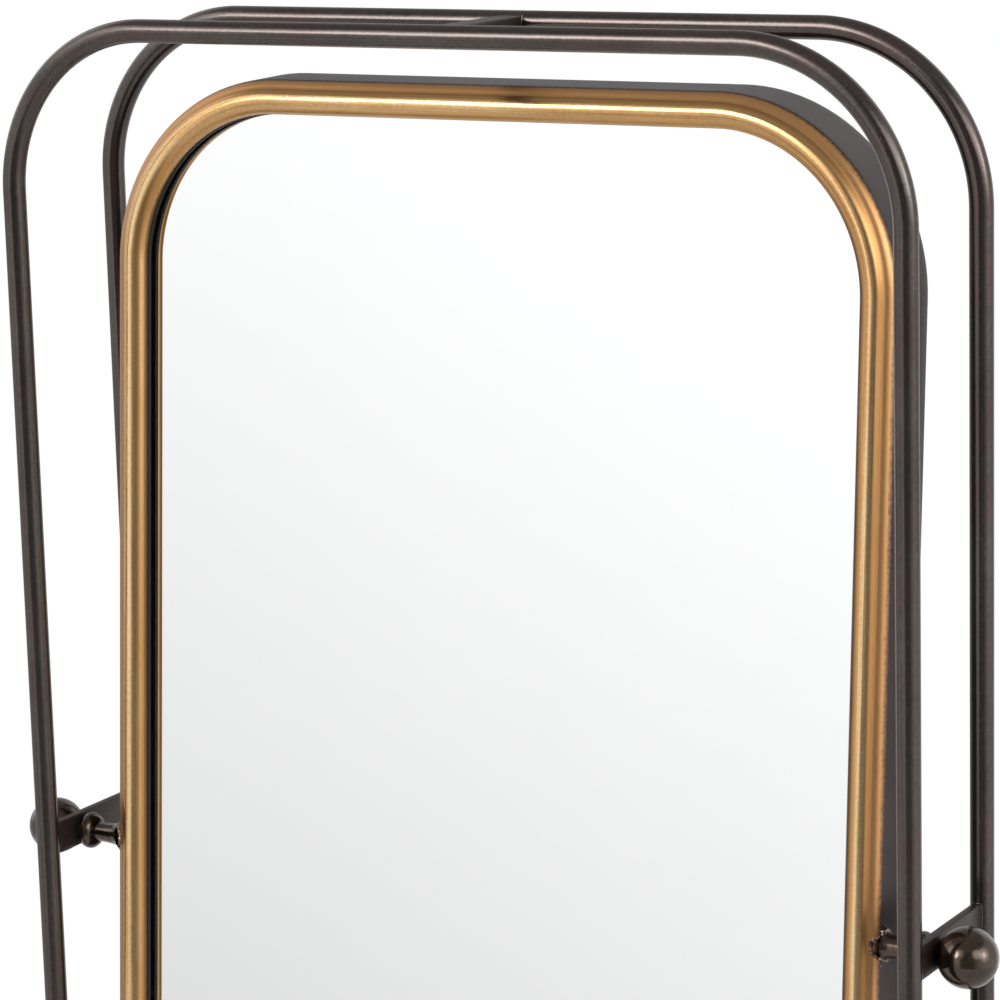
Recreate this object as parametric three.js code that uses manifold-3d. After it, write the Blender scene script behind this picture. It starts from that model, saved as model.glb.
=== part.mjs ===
// Cheval floor mirror: a deep-framed mirror that tilts on two clamped pivots
// between a front and a rear bent-tube hoop, which stand on two runner feet.
// Millimetres, +Z up. The origin is on the floor under the centre of the stand,
// +X is to the right and -Y is the side the glass faces.

import * as THREE from 'three';
import { mergeVertices } from 'three/addons/utils/BufferGeometryUtils.js';
import { ParametricGeometry } from 'three/addons/geometries/ParametricGeometry.js';
import Module from 'manifold-3d';

const wasm = await Module();
wasm.setup();

// ------------------------------------------------------------ driving sizes
const GAP = 0.3;               // clearance kept between pieces that touch

// stand
const OVERALL_H = 1600;        // floor to the crown of the hoops
const TUBE_D = 16;             // round steel tube
const TUBE_WALL = 1.5;
const HOOP_W = 674.5;          // hoop width, centre line to centre line
const HOOP_R = 113;            // bend radius on the centre line
const HOOP_SPACING = 119;      // front hoop to rear hoop, centre to centre
const RAIL_Z = OVERALL_H - TUBE_D / 2;

const RUNNER_W = 40;           // runner feet: flat bar laid flat
const RUNNER_T = 8;
const RUNNER_L = 430;
const GLIDE_H = 8;             // rubber glide between runner and floor
const GLIDE_Y = 192;
const LEG_Z0 = GLIDE_H + RUNNER_T + GAP;

const LOWER_RAIL_Z = 150;      // cross rails near the floor
const STRAP_W = 18;            // flat bars that tie the rails front to back
const STRAP_T = 10;

// pivot bars and pivot axis
const BAR_DROP = 583.6;        // rail centre line down to the bar's centre
const BAR_H = 23.2;
const BAR_T = 6;
const BAR_Z = RAIL_Z - BAR_DROP;
const PIVOT_Y = -18;           // the axis sits forward of the bar's middle
const PIVOT_Z = BAR_Z - 2;
const TILT = THREE.MathUtils.degToRad(4.53);  // the glass leans back this far

// mirror frame, measured in its own plane from the pivot axis
const FRAME_HALF_W = 300.4;    // over the front shoulder; the side wall flares out behind it
const FRAME_TOP = 548.7;       // above the axis
const FRAME_BOTTOM = 700;      // below the axis
const FRAME_R = 131;           // outer corner radius
const DEPTH_SHIFT = -17.8;     // frame's middle lies this far behind the axis
const WALL_T = 1.5;
const REAR_W = -18.5;          // rear edge, forward positive from the middle
const FLARE = 3.4;             // the rear rim stands this far outside the shoulder
const SHOULDER_W = 18.75;      // the flared wall ends and the shoulder starts here
const BEAD_IN = 7.3;           // bead: outer flank, crest, inner flank, foot and height
const BEAD_CREST = 14.4;
const BEAD_OUT = 24.3;
const BEAD_W = 25;
const BEAD_H = 8.35;
const BEAD_T = 1.2;
const GLASS_FRONT = 18;
const GLASS_T = 4;

// pivot hardware, along X from the frame wall outwards
const BOLT_R = 4;
const BORE_R = BOLT_R + GAP;
const STEM_X0 = FRAME_HALF_W + 1.4;   // clears the flare of the wall
const STEM_X1 = 322.7;
const COLLAR_X1 = 332.4;
const WASHER_X1 = 333.7;
const BAR_X = HOOP_W / 2;
const KNOB_X0 = BAR_X + BAR_T / 2 + 0.35;
const BALL_D = 40.4;
const BALL_X = 359.6;

const RING_STEPS = 8;          // facets in each frame corner

// ------------------------------------------------------------ finishes
const finish = (color, roughness, metalness) => () =>
  new THREE.MeshStandardMaterial({ color, roughness, metalness });
const bronze = finish(0x41393a, 0.45, 0.85);
const bronzePolished = finish(0x3a3331, 0.28, 0.9);
const brass = finish(0xb88a52, 0.3, 1.0);
const blackPaint = finish(0x14100e, 0.55, 0.3);
const silvered = finish(0xe6e9ea, 0.03, 1.0);
const fibreboard = finish(0x7a5d43, 0.9, 0.0);
const blackBoard = finish(0x1d1b1a, 0.85, 0.0);
const pine = finish(0xc9a777, 0.8, 0.0);
const zinc = finish(0xa9adb0, 0.35, 0.9);
const rubber = finish(0x18181a, 0.9, 0.0);
const nylon = finish(0xd8d4c8, 0.6, 0.0);

// ------------------------------------------------------------ helpers
function closed(geometry) {
  const g = geometry.clone();
  g.deleteAttribute('normal');
  g.deleteAttribute('uv');
  const m = mergeVertices(g, 1e-4);
  const pos = m.attributes.position.array;
  const src = m.index.array;
  const tri = [];
  let volume = 0;
  for (let i = 0; i < src.length; i += 3) {
    const [a, b, c] = [src[i], src[i + 1], src[i + 2]];
    if (a === b || b === c || a === c) continue;
    tri.push(a, b, c);
    const p = (k) => new THREE.Vector3(pos[3 * k], pos[3 * k + 1], pos[3 * k + 2]);
    volume += p(a).dot(p(b).cross(p(c))) / 6;
  }
  if (volume < 0) for (let i = 0; i < tri.length; i += 3) [tri[i], tri[i + 1]] = [tri[i + 1], tri[i]];
  const out = new THREE.BufferGeometry();
  out.setAttribute('position', new THREE.BufferAttribute(new Float32Array(pos), 3));
  out.setIndex(tri);
  return out;
}

function toSolid(geometry) {
  const g = closed(geometry);
  return new wasm.Manifold(new wasm.Mesh({
    numProp: 3,
    vertProperties: new Float32Array(g.attributes.position.array),
    triVerts: new Uint32Array(g.index.array),
  }));
}

function fromSolid(solid) {
  const mesh = solid.getMesh();
  const g = new THREE.BufferGeometry();
  g.setAttribute('position', new THREE.BufferAttribute(new Float32Array(mesh.vertProperties), 3));
  g.setIndex(Array.from(mesh.triVerts));
  return g;
}

function cut(geometry, ...tools) {
  let s = toSolid(geometry);
  for (const t of tools) s = s.subtract(toSolid(t));
  return fromSolid(s);
}

function add(parent, name, geometry, material) {
  const g = geometry.index ? geometry : closed(geometry);
  g.computeVertexNormals();
  const mesh = new THREE.Mesh(g, material());
  mesh.name = name;
  parent.add(mesh);
  return mesh;
}

// profile points are [radius, distance along +X]; the profile closes on itself
function turned(profile, segments = 20) {
  const pts = profile.map(([r, x]) => new THREE.Vector2(r, x));
  const first = profile[0];
  const last = profile[profile.length - 1];
  if (!(first[0] === 0 && last[0] === 0)) pts.push(pts[0].clone());
  const g = new THREE.LatheGeometry(pts, segments);
  g.rotateZ(-Math.PI / 2);   // turning axis onto +X
  return g;
}

function alongZ(geometry) {
  geometry.rotateY(-Math.PI / 2);
  return geometry;
}

function box(x0, x1, y0, y1, z0, z1) {
  const g = new THREE.BoxGeometry(x1 - x0, y1 - y0, z1 - z0);
  g.translate((x0 + x1) / 2, (y0 + y1) / 2, (z0 + z1) / 2);
  return g;
}

function rodX(r, x0, x1, y = 0, z = 0, segments = 20) {
  const g = new THREE.CylinderGeometry(r, r, x1 - x0, segments);
  g.rotateZ(Math.PI / 2);
  g.translate((x0 + x1) / 2, y, z);
  return g;
}

function disc(shapeRadius, segments) {
  const p = [];
  for (let i = 0; i < segments; i++) {
    const a = (2 * Math.PI * i) / segments;
    p.push(new THREE.Vector2(shapeRadius * Math.cos(a), shapeRadius * Math.sin(a)));
  }
  return p;
}

function tubeSection(outerR, innerR, outerN, innerN) {
  const s = new THREE.Shape(disc(outerR, outerN));
  s.holes.push(new THREE.Path(disc(innerR, innerN)));
  return s;
}

// ------------------------------------------------------------ bent hoop
// The hoop's centre line: up one leg, round a bend, along the top rail, round
// the second bend and down the other leg. Stations are closer in the bends.
class HoopCurve extends THREE.Curve {
  constructor(y) {
    super();
    this.y = y;
    this.stations = [];
    const a = HOOP_W / 2;
    const zb = RAIL_Z - HOOP_R;
    const put = (x, z, tx, tz) => this.stations.push({ x, z, tx, tz });
    put(-a, LEG_Z0, 0, 1);
    for (let i = 0; i <= 8; i++) {
      const t = (Math.PI / 2) * (i / 8);
      put(-a + HOOP_R - HOOP_R * Math.cos(t), zb + HOOP_R * Math.sin(t), Math.sin(t), Math.cos(t));
    }
    for (let i = 8; i >= 0; i--) {
      const t = (Math.PI / 2) * (i / 8);
      put(a - HOOP_R + HOOP_R * Math.cos(t), zb + HOOP_R * Math.sin(t), Math.sin(t), -Math.cos(t));
    }
    put(a, LEG_Z0, 0, -1);
  }
  get steps() { return this.stations.length - 1; }
  getUtoTmapping(u) { return u; }
  at(t) {
    const f = Math.min(Math.max(t, 0), 1) * this.steps;
    const i = Math.min(Math.floor(f + 1e-9), this.steps - 1);
    return [this.stations[i], this.stations[i + 1], Math.min(f - i, 1)];
  }
  getPoint(t, target = new THREE.Vector3()) {
    const [p, q, k] = this.at(t);
    return target.set(p.x + (q.x - p.x) * k, this.y, p.z + (q.z - p.z) * k);
  }
  getTangent(t, target = new THREE.Vector3()) {
    const [p, q, k] = this.at(t);
    const s = k > 0.5 ? q : p;
    return target.set(s.tx, 0, s.tz).normalize();
  }
}

function hoop(y) {
  const curve = new HoopCurve(y);
  return new THREE.ExtrudeGeometry(
    tubeSection(TUBE_D / 2, TUBE_D / 2 - TUBE_WALL, 16, 12),
    { steps: curve.steps, extrudePath: curve, bevelEnabled: false },
  );
}

// ------------------------------------------------------------ frame rings
// Rounded-rectangle outline of the frame, moved inwards by s. Each station
// gives a point and the outward direction at it.
function outline(steps = RING_STEPS) {
  const st = [];
  const cx = FRAME_HALF_W - FRAME_R;
  const top = FRAME_TOP - FRAME_R;
  const bottom = -FRAME_BOTTOM + FRAME_R;
  const centres = [[cx, top, 0], [-cx, top, 90], [-cx, bottom, 180], [cx, bottom, 270]];
  for (const [x, v, a0] of centres) {
    for (let i = 0; i <= steps; i++) {
      const a = THREE.MathUtils.degToRad(a0 + (90 * i) / steps);
      st.push({ x, v, nx: Math.cos(a), nv: Math.sin(a) });
    }
  }
  return st;
}

// profile points are [s inwards from the outer face, w forwards of mid-depth]
function ring(profile) {
  const st = outline();
  const n = st.length;
  const m = profile.length;
  const f = (u, v, target) => {
    const s = st[Math.round(u * n) % n];
    const [inset, w] = profile[Math.round(v * m) % m];
    const r = FRAME_R - inset;
    target.set(s.x + r * s.nx, -(w + DEPTH_SHIFT), s.v + r * s.nv);
  };
  return closed(new ParametricGeometry(f, n, m));
}

function plateShape(inset, holes = []) {
  const pts = outline().map((s) => new THREE.Vector2(
    s.x + (FRAME_R - inset) * s.nx, s.v + (FRAME_R - inset) * s.nv));
  const shape = new THREE.Shape(pts);
  for (const [x, v, r] of holes) {
    shape.holes.push(new THREE.Path(disc(r, 12).map((p) => new THREE.Vector2(p.x + x, p.y + v))));
  }
  return shape;
}

// a flat plate in the frame's plane, between depths w0 and w1
function plate(inset, w0, w1, holes) {
  const g = new THREE.ExtrudeGeometry(plateShape(inset, holes), { depth: w1 - w0, bevelEnabled: false });
  g.rotateX(Math.PI / 2);                    // x, v -> x, z ; depth -> -y
  g.translate(0, -(w0 + DEPTH_SHIFT), 0);
  return g;
}

// ------------------------------------------------------------ the model
const object = new THREE.Group();

// stand ------------------------------------------------------
const stand = new THREE.Group();
object.add(stand);

const HY = HOOP_SPACING / 2;
add(stand, 'front_hoop', hoop(-HY), bronze);
add(stand, 'rear_hoop', hoop(HY), bronze);

const strapY = HY - TUBE_D / 2 - GAP;
add(stand, 'top_strap',
  box(-STRAP_W / 2, STRAP_W / 2, -strapY, strapY, RAIL_Z - STRAP_T / 2, RAIL_Z + STRAP_T / 2), bronze);
add(stand, 'lower_strap',
  box(-STRAP_W / 2, STRAP_W / 2, -strapY, strapY, LOWER_RAIL_Z - STRAP_T / 2, LOWER_RAIL_Z + STRAP_T / 2), bronze);

// cross rails with coped ends that sit against the round legs
function lowerRail(y) {
  const half = HOOP_W / 2;
  const tube = new THREE.ExtrudeGeometry(
    tubeSection(TUBE_D / 2, TUBE_D / 2 - TUBE_WALL, 16, 12),
    { depth: HOOP_W, bevelEnabled: false });
  tube.rotateY(Math.PI / 2);
  tube.translate(-half, y, LOWER_RAIL_Z);
  const leg = (x) => {
    const g = new THREE.CylinderGeometry(TUBE_D / 2 + GAP, TUBE_D / 2 + GAP, 60, 16);
    g.rotateX(Math.PI / 2);
    g.translate(x, y, LOWER_RAIL_Z);
    return g;
  };
  const beyond = (x0, x1) => box(x0, x1, y - 20, y + 20, LOWER_RAIL_Z - 20, LOWER_RAIL_Z + 20);
  return cut(tube, leg(-half), leg(half), beyond(-half - 30, -half), beyond(half, half + 30));
}
add(stand, 'front_lower_rail', lowerRail(-HY), bronze);
add(stand, 'rear_lower_rail', lowerRail(HY), bronze);

// pivot bars: flat bar on edge between the front and rear legs, drilled for the bolt
for (const [side, sx] of [['left', -1], ['right', 1]]) {
  const x = sx * BAR_X;
  const blank = box(x - BAR_T / 2, x + BAR_T / 2, -strapY, strapY, BAR_Z - BAR_H / 2, BAR_Z + BAR_H / 2);
  const hole = rodX(BORE_R, x - BAR_T, x + BAR_T, PIVOT_Y, PIVOT_Z);
  add(stand, `${side}_pivot_bar`, cut(blank, hole), bronze);
}

// runner feet, glides, and the plug and bolt that hold each leg to its runner
function runnerShape() {
  const s = new THREE.Shape();
  const r = 12;
  const w = RUNNER_W / 2;
  const l = RUNNER_L / 2;
  s.moveTo(-w + r, -l);
  s.lineTo(w - r, -l);
  s.absarc(w - r, -l + r, r, -Math.PI / 2, 0, false);
  s.lineTo(w, l - r);
  s.absarc(w - r, l - r, r, 0, Math.PI / 2, false);
  s.lineTo(-w + r, l);
  s.absarc(-w + r, l - r, r, Math.PI / 2, Math.PI, false);
  s.lineTo(-w, -l + r);
  s.absarc(-w + r, -l + r, r, Math.PI, 1.5 * Math.PI, false);
  for (const y of [-GLIDE_Y, -HY, HY, GLIDE_Y]) {
    s.holes.push(new THREE.Path(disc(BORE_R, 12).map((p) => new THREE.Vector2(p.x, p.y + y))));
  }
  return s;
}
for (const [side, sx] of [['left', -1], ['right', 1]]) {
  const x = sx * BAR_X;
  const runner = new THREE.ExtrudeGeometry(runnerShape(), { depth: RUNNER_T, bevelEnabled: false, curveSegments: 5 });
  runner.translate(x, 0, GLIDE_H);
  add(stand, `${side}_runner_foot`, runner, bronze);
  for (const [end, sy] of [['front', -1], ['rear', 1]]) {
    // rubber glide: pad with a stem pressed up into the runner
    const glide = alongZ(turned([
      [0, 0], [13, 0], [14, 1], [14, GLIDE_H - GAP], [BOLT_R, GLIDE_H - GAP],
      [BOLT_R, GLIDE_H + RUNNER_T - 1], [0, GLIDE_H + RUNNER_T - 1]], 16));
    glide.translate(x, sy * GLIDE_Y, 0);
    add(stand, `${side}_${end}_glide`, glide, rubber);

    // threaded plug fixed inside the foot of the leg
    const plugR = TUBE_D / 2 - TUBE_WALL - GAP - 0.25;
    const plug = alongZ(turned([
      [BORE_R, LEG_Z0 + 0.2], [plugR, LEG_Z0 + 0.2], [plugR, LEG_Z0 + 26], [BORE_R, LEG_Z0 + 26]], 12));
    plug.translate(x, sy * HY, 0);
    add(stand, `${side}_${end}_leg_plug`, plug, zinc);

    // hex bolt from under the runner into the plug
    const shank = new THREE.CylinderGeometry(BOLT_R, BOLT_R, 30, 16);
    shank.rotateX(Math.PI / 2);
    shank.translate(x, sy * HY, GLIDE_H - GAP - 1 + 15);
    const head = new THREE.CylinderGeometry(7.4, 7.4, 5, 6);
    head.rotateX(Math.PI / 2);
    head.translate(x, sy * HY, GLIDE_H - GAP - 2.5);
    add(stand, `${side}_${end}_leg_bolt`, fromSolid(toSolid(shank).add(toSolid(head))), zinc);
  }
}

// mirror -----------------------------------------------------
// The group's origin is the pivot axis, and it leans back by TILT.
const mirror = new THREE.Group();
mirror.position.set(0, PIVOT_Y, PIVOT_Z);
mirror.rotation.x = -TILT;
object.add(mirror);

// deep side wall that flares towards the rear, with a sloping front shoulder and
// a rear return flange
const casing = ring([
  [-FLARE, REAR_W], [0, SHOULDER_W], [0.4, 21.6], [1, 23.4], [1.8, 24.8], [2.6, 25.9],
  [3.5, 26.7], [4.9, 27.6], [5.9, 28.2], [7, 29.1], [6.9, 27.6], [5.9, 26.8], [4.9, 26.1],
  [3.8, 25.2], [2.8, 23.8], [2, 22.2], [1.6, 20.6], [WALL_T, SHOULDER_W],
  [WALL_T - FLARE, REAR_W + WALL_T], [8, REAR_W + WALL_T], [8, REAR_W]]);
add(mirror, 'frame_casing', cut(casing,
  rodX(BORE_R, FRAME_HALF_W - 6, FRAME_HALF_W + 6),
  rodX(BORE_R, -FRAME_HALF_W - 6, -FRAME_HALF_W + 6)), bronze);

// brass bead, a pressed channel: its outer side runs on from the shoulder's slope
// and its inner flank is deeper
const beadInner = BEAD_OUT - BEAD_CREST;
const beadProfile = [[BEAD_IN, BEAD_W - 1], [BEAD_IN, 29.4], [8.4, 30.5], [9.4, 31.5],
  [10.3, 32.2], [12, 33], [BEAD_CREST, BEAD_W + BEAD_H]];
const ARC = 6;
for (let i = 1; i <= ARC; i++) {
  const a = Math.PI / 2 - (Math.PI / 2 * i) / ARC;
  beadProfile.push([BEAD_CREST + beadInner * Math.cos(a), BEAD_W + BEAD_H * Math.sin(a)]);
}
beadProfile.push([BEAD_OUT, BEAD_W - 3], [BEAD_OUT - BEAD_T, BEAD_W - 3]);
for (let i = 0; i < ARC; i++) {
  const a = (Math.PI / 2 * i) / ARC;
  beadProfile.push([BEAD_CREST + (beadInner - BEAD_T) * Math.cos(a), BEAD_W + (BEAD_H - BEAD_T) * Math.sin(a)]);
}
beadProfile.push([BEAD_CREST, BEAD_W + BEAD_H - BEAD_T], [12.3, 31.8], [11, 31.2], [10.1, 30.5],
  [8.5, 28.9], [BEAD_IN + BEAD_T, BEAD_W - 1]);
add(mirror, 'brass_bead', ring(beadProfile), brass);

// black rebate strip between the bead and the glass
const rebateTop = BEAD_W - 3 - GAP;
const rebateLow = GLASS_FRONT + GAP;
const rebate = ring([
  [WALL_T + GAP, rebateLow], [BEAD_OUT + 0.3, rebateLow], [BEAD_OUT + 0.3, rebateTop],
  [BEAD_OUT - 1.5, rebateTop], [BEAD_OUT - 1.5, rebateLow + 1.5], [WALL_T + GAP, rebateLow + 1.5]]);
const notchX = FRAME_HALF_W - 8.2;   // notches clear the heads of the pivot bolts
add(mirror, 'glass_rebate', cut(rebate,
  box(notchX, FRAME_HALF_W, -20, 30, -9, 9), box(-FRAME_HALF_W, -notchX, -20, 30, -9, 9)), blackPaint);

const glassBack = GLASS_FRONT - GLASS_T;
add(mirror, 'mirror_glass', plate(14, glassBack, GLASS_FRONT), silvered);
const backerBack = glassBack - GAP - 3;
add(mirror, 'glass_backer', plate(12, backerBack, glassBack - GAP), fibreboard);

// back panel, its brackets and screws
const panelFront = REAR_W + 7.1;
const panelBack = panelFront - 3;
const bracketAt = [
  ['upper_left', -1, 0, 330], ['lower_left', -1, 0, -430],
  ['upper_right', 1, 0, 330], ['lower_right', 1, 0, -430],
  ['top', 0, 1, 0], ['bottom', 0, -1, 0]];
const SCREW_IN = 15;           // screw centre in from the frame's outer face
const screwXY = ([, sx, sv, v]) => sx !== 0
  ? [sx * (FRAME_HALF_W - SCREW_IN), v]
  : [0, sv > 0 ? FRAME_TOP - SCREW_IN : -FRAME_BOTTOM + SCREW_IN];
const screwHoles = bracketAt.map((b) => [...screwXY(b), 2.1]);
add(mirror, 'back_panel', plate(9, panelBack, panelFront, screwHoles), blackBoard);

for (const b of bracketAt) {
  const [label, sx, sv, v] = b;
  const legDepth = panelFront + GAP;      // bracket's foot lies on the panel
  const s0 = WALL_T - 0.9;                // its upright leg clears the flared wall
  const t = 1.5;
  // L section in (inset, w), 22 wide along the wall
  const section = new THREE.Shape([
    new THREE.Vector2(s0, legDepth), new THREE.Vector2(s0 + 19, legDepth),
    new THREE.Vector2(s0 + 19, legDepth + t), new THREE.Vector2(s0 + t, legDepth + t),
    new THREE.Vector2(s0 + t, legDepth + 16), new THREE.Vector2(s0, legDepth + 16)]);
  const g = new THREE.ExtrudeGeometry(section, { depth: 22, bevelEnabled: false });
  g.translate(0, DEPTH_SHIFT, -11);
  // (inset, w, along) -> frame coordinates
  const m = new THREE.Matrix4();
  if (sx !== 0) {
    m.set(-sx, 0, 0, sx * FRAME_HALF_W,
      0, -1, 0, 0,
      0, 0, 1, v,
      0, 0, 0, 1);
  } else {
    m.set(0, 0, 1, 0,
      0, -1, 0, 0,
      -sv, 0, 0, sv > 0 ? FRAME_TOP : -FRAME_BOTTOM,
      0, 0, 0, 1);
  }
  g.applyMatrix4(m);
  const [hx, hv] = screwXY(b);
  const drill = new THREE.CylinderGeometry(2.1, 2.1, 10, 12);
  drill.translate(hx, -(legDepth + DEPTH_SHIFT), hv);
  add(mirror, `${label}_bracket`, cut(g, drill), zinc);

  // pan-head screw from behind, through the panel into the bracket
  const screw = turned([
    [0, 0], [2.6, 0], [4, 1.3], [4, 2.3], [1.8, 2.3], [1.8, 10], [0, 12]], 8);
  screw.rotateZ(-Math.PI / 2);            // +X -> -Y, towards the front
  screw.translate(hx, -(panelBack - GAP - 2.3 + DEPTH_SHIFT), hv);
  add(mirror, `${label}_screw`, screw, zinc);
}

// softwood battens that hold the backer off the panel
for (const [label, v] of [['upper', 330], ['middle', -75], ['lower', -480]]) {
  const halfX = FRAME_HALF_W - 24;
  const vv = v + (label === 'middle' ? 0 : (label === 'upper' ? -40 : 0));
  add(mirror, `${label}_batten`, box(-halfX, halfX,
    -(backerBack - GAP + DEPTH_SHIFT), -(panelFront + GAP + DEPTH_SHIFT), vv - 11, vv + 11), pine);
}

// pivot hardware on both sides
const knobs = {};
for (const [side, sx] of [['left', -1], ['right', 1]]) {
  const outwards = (g) => {
    if (sx < 0) g.rotateZ(Math.PI);
    return closed(g);
  };

  // bolt with its hex head inside the casing
  const headX1 = FRAME_HALF_W - 3.3;      // the low head clears the shoulder's slope
  const shank = rodX(BOLT_R, headX1 - 1, BALL_X - 6, 0, 0, 20);
  const head = rodX(6.2, headX1 - 3.6, headX1, 0, 0, 6);
  const bolt = fromSolid(toSolid(shank).add(toSolid(head)));
  if (sx < 0) bolt.rotateZ(Math.PI);
  add(mirror, `${side}_pivot_bolt`, bolt, zinc);

  // turned stem that flares onto the casing wall
  add(mirror, `${side}_pivot_stem`, outwards(turned([
    [BORE_R, STEM_X0], [9.6, STEM_X0], [8.8, STEM_X0 + 1.5], [8, STEM_X0 + 5],
    [7.4, STEM_X0 + 11], [7, STEM_X1], [BORE_R, STEM_X1]], 20)), bronzePolished);

  // domed collar
  const c0 = STEM_X1 + GAP;
  const cl = COLLAR_X1 - c0;
  add(mirror, `${side}_collar`, outwards(turned([
    [BORE_R, c0], [9.2, c0], [11.4, c0 + cl * 0.14], [12.8, c0 + cl * 0.34],
    [13.2, c0 + cl * 0.55], [12.9, c0 + cl * 0.76], [11.8, c0 + cl * 0.9],
    [11.8, COLLAR_X1], [BORE_R, COLLAR_X1]], 20)), bronzePolished);

  // friction washer against the pivot bar
  add(mirror, `${side}_friction_washer`, outwards(turned([
    [BORE_R, COLLAR_X1 + GAP], [10, COLLAR_X1 + GAP], [10, WASHER_X1], [BORE_R, WASHER_X1]], 20)), nylon);

  // ball knob, bored for the bolt
  const R = BALL_D / 2;
  const neckR = 9.6;
  const a0 = Math.asin(neckR / R);
  const profile = [[BORE_R, KNOB_X0], [neckR, KNOB_X0]];
  const N = 9;
  for (let i = 0; i <= N; i++) {
    const a = a0 + (Math.PI - a0) * (i / N);
    profile.push([i === N ? 0 : R * Math.sin(a), BALL_X - R * Math.cos(a)]);
  }
  profile.push([0, BALL_X - 5], [BORE_R, BALL_X - 5], [BORE_R, KNOB_X0]);
  const knobGeometry = new THREE.LatheGeometry(profile.map(([r, x]) => new THREE.Vector2(r, x)), 20);
  knobGeometry.rotateZ(-Math.PI / 2);
  knobs[side] = add(mirror, `${side}_ball_knob`, outwards(knobGeometry), bronzePolished);
}

export default object;
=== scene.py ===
import math
import random

import bmesh
import bpy
import numpy as np
from mathutils import Matrix, Vector, noise


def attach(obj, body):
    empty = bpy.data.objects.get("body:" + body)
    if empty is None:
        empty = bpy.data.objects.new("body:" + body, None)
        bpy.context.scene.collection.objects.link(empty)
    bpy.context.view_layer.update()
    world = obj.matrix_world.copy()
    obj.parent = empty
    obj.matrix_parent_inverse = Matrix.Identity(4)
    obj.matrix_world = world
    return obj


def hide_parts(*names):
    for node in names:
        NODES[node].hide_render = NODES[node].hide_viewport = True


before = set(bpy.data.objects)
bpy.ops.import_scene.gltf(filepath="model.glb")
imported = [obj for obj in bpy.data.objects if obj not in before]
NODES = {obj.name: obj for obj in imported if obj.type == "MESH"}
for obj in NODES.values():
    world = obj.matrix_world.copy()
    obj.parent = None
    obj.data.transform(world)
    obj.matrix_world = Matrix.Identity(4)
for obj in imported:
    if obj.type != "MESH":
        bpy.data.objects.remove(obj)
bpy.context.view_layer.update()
MM = 0.001
rng = random.Random(7)

# ---------------------------------------------------------------- sizes, in mm
OVERALL_H = 1600.0
TUBE_R, TUBE_WALL = 8.0, 1.5
HOOP_W, HOOP_R, HOOP_SPACING = 674.5, 113.0, 119.0
RAIL_Z = OVERALL_H - TUBE_R
LEG_Z0 = 16.3
BAR_Z = RAIL_Z - 583.6
BAR_X = HOOP_W / 2
BAR_T, BAR_H = 6.0, 23.2
PIVOT_Y, PIVOT_Z = -18.0, BAR_Z - 2.0
TILT = math.radians(4.53)
HALF_W, TOP, BOTTOM, CORNER = 300.4, 548.7, 700.0, 131.0
SHIFT = -17.8
HY = HOOP_SPACING / 2
LOWER_RAIL_Z = 150.0
GAP = 0.3

# ---------------------------------------------------------------- camera
cam_data = bpy.data.cameras.new("camera")
cam = bpy.data.objects.new("camera", cam_data)
bpy.context.scene.collection.objects.link(cam)
bpy.context.scene.camera = cam
cam_data.sensor_width = 36.0
cam_data.lens = 137.23
cam_data.clip_start, cam_data.clip_end = 0.05, 60.0
AZ, EL, ROLL = math.radians(29.968), math.radians(11.531), math.radians(-1.529)
fwd = Vector((-math.sin(AZ) * math.cos(EL), math.cos(AZ) * math.cos(EL), -math.sin(EL)))
rgt = fwd.cross(Vector((0, 0, 1))).normalized()
upv = rgt.cross(fwd).normalized()
r2 = rgt * math.cos(ROLL) + upv * math.sin(ROLL)
u2 = -rgt * math.sin(ROLL) + upv * math.cos(ROLL)
cam.matrix_world = Matrix((
    (r2.x, u2.x, -fwd.x, 1.27277),
    (r2.y, u2.y, -fwd.y, -2.18642),
    (r2.z, u2.z, -fwd.z, RAIL_Z * MM + 0.19829),
    (0, 0, 0, 1)))

# ---------------------------------------------------------------- node helpers


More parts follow.
